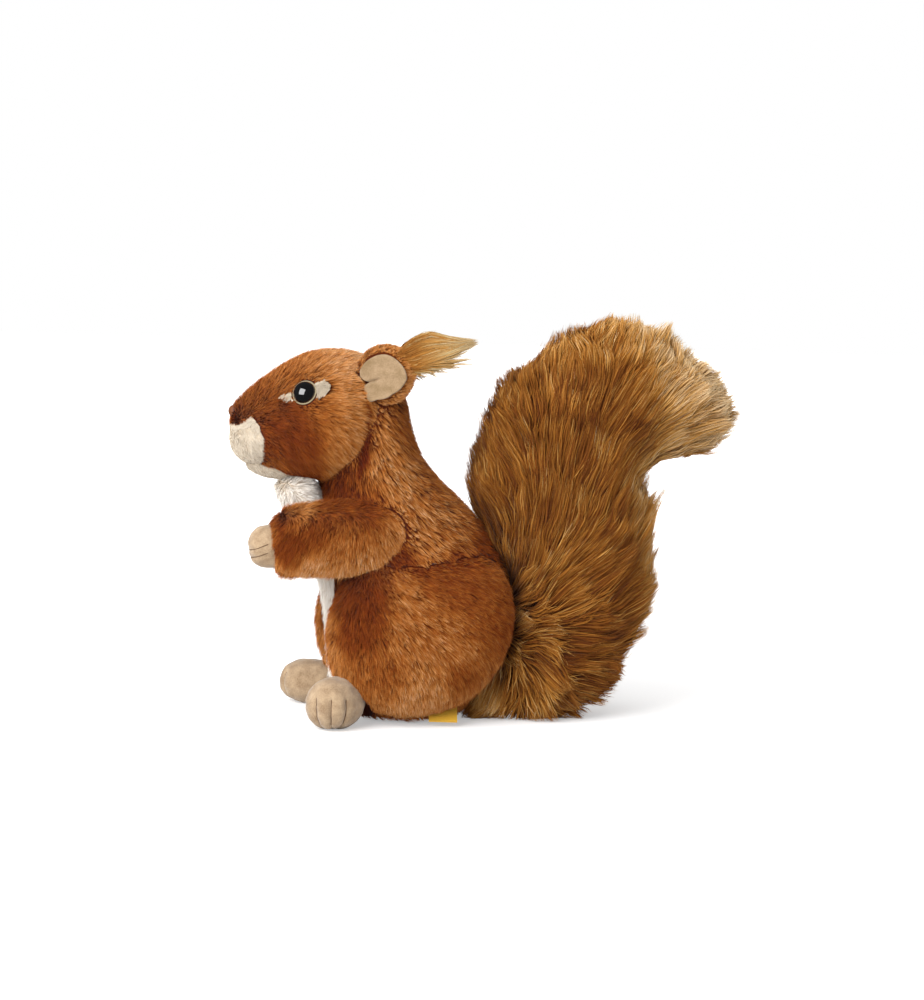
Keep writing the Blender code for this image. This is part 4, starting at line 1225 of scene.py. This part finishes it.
class PLUSH_OT_linings(bpy.types.Operator):
    """Velour linings in the ears, each with its pleat"""

    bl_idname = "plush.linings"
    bl_label = "Ear linings"

    def execute(self, context):
        for side, suffix in zip((1, -1), SIDES):
            node = "ear_lining_" + suffix
            turn = (Matrix.Rotation(-side * EAR_TURN, 3, "Z")
                    @ Matrix.Rotation(-side * EAR_TILT, 3, "Y"))
            face, wide, high = (np.array(turn @ Vector(axis)) for axis in
                                ((side, 0, 0), (0, 1, 0), (0, 0, 1)))
            points = cad_surface(node)[0]
            centre = (face * ((points @ face).max() - 0.0004)
                      + wide * ((points @ wide).max() - 0.0096)
                      + high * ((points @ high).max() - 0.0143))
            grid = self.lens(centre, face, wide, high)
            grid_piece("velour_" + node, [grid], "lining", [node])
        return {"FINISHED"}

    def lens(self, centre, face, wide, high):
        """A hollow disc with the outline r(a), and a fold that runs in from its pleat."""
        face_rho = np.linspace(0, 0.97, 34)
        rho = np.concatenate([face_rho, [1.0, 1.0, 0.97, 0.5, 0.0]])
        lift = np.concatenate([0.3 * face_rho ** 3, [0.15, -1.2, -1.6, -1.8, -1.8]])
        angle = circle(144)
        edge = np.interp(np.degrees(angle), *LINING_EDGE, period=360) * MM
        edge = (np.roll(edge, 1) + 2 * edge + np.roll(edge, -1)) / 4
        x = rho[:, None] * np.cos(angle) * edge
        y = rho[:, None] * np.sin(angle) * edge
        fold = np.exp(-((y - 0.30 * x) / 0.0007) ** 2) * smoothstep(-0.0005, -0.0035, x)
        level = lift[:, None] * MM - 0.0011 * fold + 0.0003 * np.exp(-((y - 0.0022) / 0.0016) ** 2)
        return centre + x[..., None] * wide + y[..., None] * high + level[..., None] * face


class PLUSH_OT_eyes(bpy.types.Operator):
    """Glossy safety eyes with their pale rings"""

    bl_idname = "plush.eyes"
    bl_label = "Eyes"

    def execute(self, context):
        """A dome with a flat back, r = R cos(a) and h = H sin(a), in a ring of round section."""
        trim = context.scene.plush_trim
        angle = np.linspace(np.pi / 2, 0, 24)
        section = np.linspace(0, 2 * np.pi, 17)
        dome = (np.concatenate([np.sin(angle), [-0.10, -0.10]]) * trim.eye_rise,
                np.concatenate([np.cos(angle), [0.93, 0.0]]) * trim.eye_diameter / 2)
        ring = (0.0001 + 0.00034 * np.sin(section),
                trim.eye_diameter / 2 + 0.00022 + 0.00034 * np.cos(section))
        for suffix, (centre, out, back, up) in EYES.items():
            for name, node, (height, radius), finish in (
                    ("dome_eye_", "eye_", dome, "eye"), ("ring_eye_", "eye_rim_", ring, "felt")):
                grid = rings(centre, out, height, radius, circle(64), back, up)
                grid_piece(name + suffix, [grid], finish, [node + suffix])
            refinish("eye_washer_" + suffix, "washer")
        return {"FINISHED"}


class PLUSH_OT_nose(bpy.types.Operator):
    """Satin-stitched nose"""

    bl_idname = "plush.nose"
    bl_label = "Nose"

    def execute(self, context):
        """An ellipsoid whose girth has sixteen shallow ridges."""
        low, high = (np.array(corner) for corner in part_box("nose"))
        centre, half = (low + high) / 2, (high - low) / 2
        s = np.linspace(0, np.pi, 33)[:, None]
        turn = circle(96)
        ridge = 1 + 0.05 * np.cos(16 * np.pi * np.cos(turn)) * np.sin(s)
        shape = [np.sin(s) * np.cos(turn) * ridge, -np.cos(s) * np.ones_like(ridge),
                 np.sin(s) * np.sin(turn) * ridge]
        grid_piece("stitched_nose", [centre + half * np.stack(shape, axis=-1)], "thread", ["nose"])
        return {"FINISHED"}


class PLUSH_OT_label(bpy.types.Operator):
    """Blank woven tab at the base"""

    bl_idname = "plush.label"
    bl_label = "Label"

    def execute(self, context):
        refinish("label", "label")
        return {"FINISHED"}


class PLUSH_OT_stage(bpy.types.Operator):
    """Pale floor, soft studio light and the camera"""

    bl_idname = "plush.stage"
    bl_label = "Stage"

    def execute(self, context):
        stage = context.scene.plush_stage
        scene = context.scene
        scene.view_settings.view_transform = "Standard"
        self.floor(scene)
        self.world(scene, stage.room_level)
        self.softbox(*KEY_LIGHT, stage.key_power)
        self.softbox(*FRONT_LIGHT, stage.front_power)
        self.camera(scene)
        return {"FINISHED"}

    def floor(self, scene):
        """Paper that the camera sees brighten to white away from the toy, with the toy's shadow."""
        size = FLOOR_SIZE
        mesh = bpy.data.meshes.new("Floor")
        mesh.from_pydata([(-size, -size, 0), (size, -size, 0), (size, size, 0), (-size, size, 0)],
                         [], [(0, 1, 2, 3)])
        floor = bpy.data.objects.new("Floor", mesh)
        scene.collection.objects.link(floor)
        material, tree = new_material("White seamless paper")
        grain = add_node(tree, "ShaderNodeTexNoise", inputs={"Scale": 400.0})
        white = add_node(tree, "ShaderNodeMix", {"data_type": "RGBA"},
                         {0: grain.outputs["Fac"], 6: srgb("#e7e7e7"), 7: srgb("#ebebeb")})
        paper = add_node(tree, "ShaderNodeBsdfDiffuse", inputs={"Color": white.outputs[2]})
        seen = add_node(tree, "ShaderNodeLightPath")
        place = add_node(tree, "ShaderNodeTexCoord").outputs["Object"]
        away = add_node(tree, "ShaderNodeVectorMath", {"operation": "LENGTH"}, {0: place})
        level = add_node(tree, "ShaderNodeMapRange", {"interpolation_type": "SMOOTHSTEP"},
                         {"Value": away.outputs["Value"], "From Min": GLOW_START,
                          "From Max": GLOW_FULL, "To Min": 0.38, "To Max": 1.2})
        lit = add_node(tree, "ShaderNodeMath", {"operation": "MULTIPLY"},
                       {0: seen.outputs["Is Camera Ray"], 1: level.outputs["Result"]})
        glow = add_node(tree, "ShaderNodeEmission", inputs={"Strength": lit.outputs[0]})
        both = add_node(tree, "ShaderNodeAddShader",
                        inputs={0: paper.outputs[0], 1: glow.outputs[0]})
        add_node(tree, "ShaderNodeOutputMaterial", inputs={"Surface": both.outputs[0]})
        mesh.materials.append(material)
        floor.visible_glossy = False

    def world(self, scene, level):
        """Even light from all round, white behind the toy and dark in the mirror of an eye."""
        scene.world = bpy.data.worlds.new("Studio")
        scene.world.use_nodes = True
        tree = scene.world.node_tree
        tree.nodes.clear()
        seen = add_node(tree, "ShaderNodeLightPath")
        white = srgb("#ffffff")
        room, dark, backdrop = (
            add_node(tree, "ShaderNodeBackground", inputs={"Color": white, "Strength": strength})
            for strength in (level, 0.10, 1.0))
        mirrored = add_node(tree, "ShaderNodeMixShader",
                            inputs={0: seen.outputs["Is Glossy Ray"], 1: room.outputs[0],
                                    2: dark.outputs[0]})
        mixed = add_node(tree, "ShaderNodeMixShader",
                         inputs={0: seen.outputs["Is Camera Ray"], 1: mirrored.outputs[0],
                                 2: backdrop.outputs[0]})
        add_node(tree, "ShaderNodeOutputWorld", inputs={"Surface": mixed.outputs[0]})

    def softbox(self, name, place, target, size, mirrored, power):
        """A square lamp turned to a target, seen in glossy surfaces only where it is mirrored."""
        data = bpy.data.lights.new(name, "AREA")
        data.shape = "SQUARE"
        data.size = size
        data.energy = power
        lamp = bpy.data.objects.new(name, data)
        lamp.location = place
        lamp.visible_glossy = mirrored
        away = Vector(place) - Vector(target)
        lamp.rotation_euler = away.to_track_quat("Z", "Y").to_euler()
        bpy.context.scene.collection.objects.link(lamp)

    def camera(self, scene):
        """Turned about its own view line by the roll, with a lens that maps 2000 px to a metre."""
        az, el = CAMERA_AZIMUTH, CAMERA_ELEVATION
        back = Vector((math.cos(el) * math.sin(az), -math.cos(el) * math.cos(az), math.sin(el)))
        data = bpy.data.cameras.new("Camera")
        data.sensor_width = SENSOR_MM
        data.lens = PIXELS_PER_METRE * CAMERA_DISTANCE * SENSOR_MM / max(IMAGE_SIZE)
        data.clip_start = 0.05
        data.clip_end = 50
        camera = bpy.data.objects.new("Camera", data)
        scene.collection.objects.link(camera)
        turn = back.to_track_quat("Z", "Y").to_matrix()
        camera.matrix_world = (turn @ Matrix.Rotation(CAMERA_ROLL, 3, "Z")).to_4x4()
        camera.location = Vector(CAMERA_TARGET) + back * CAMERA_DISTANCE
        scene.camera = camera


class PLUSH_PT_panel(bpy.types.Panel):
    bl_idname = "PLUSH_PT_panel"
    bl_label = "Plush squirrel"
    bl_space_type = "VIEW_3D"
    bl_region_type = "UI"
    bl_category = "Plush"

    def draw(self, context):
        layout = self.layout
        scene = context.scene
        for group in (scene.plush_pile, scene.plush_trim, scene.plush_stage):
            for name in group.__annotations__:
                layout.prop(group, name)
        for operator in OPERATORS:
            layout.operator(operator.bl_idname)


OPERATORS = (PLUSH_OT_body, PLUSH_OT_head, PLUSH_OT_cream, PLUSH_OT_tail, PLUSH_OT_tufts,
             PLUSH_OT_paws, PLUSH_OT_linings, PLUSH_OT_eyes, PLUSH_OT_nose, PLUSH_OT_label,
             PLUSH_OT_stage)
GROUPS = (PileSettings, TrimSettings, StageSettings)


def register():
    for cls in GROUPS + OPERATORS + (PLUSH_PT_panel,):
        bpy.utils.register_class(cls)
    bpy.types.Scene.plush_pile = PointerProperty(type=PileSettings)
    bpy.types.Scene.plush_trim = PointerProperty(type=TrimSettings)
    bpy.types.Scene.plush_stage = PointerProperty(type=StageSettings)


def unregister():
    del bpy.types.Scene.plush_pile, bpy.types.Scene.plush_trim, bpy.types.Scene.plush_stage
    for cls in reversed(GROUPS + OPERATORS + (PLUSH_PT_panel,)):
        bpy.utils.unregister_class(cls)


def main():
    register()
    make_materials()
    bpy.ops.plush.stage()
    bpy.ops.plush.body()
    bpy.ops.plush.head()
    bpy.ops.plush.cream()
    bpy.ops.plush.tail()
    bpy.ops.plush.tufts()
    bpy.ops.plush.paws()
    bpy.ops.plush.linings()
    bpy.ops.plush.eyes()
    bpy.ops.plush.nose()
    bpy.ops.plush.label()


if __name__ == "__main__":
    main()
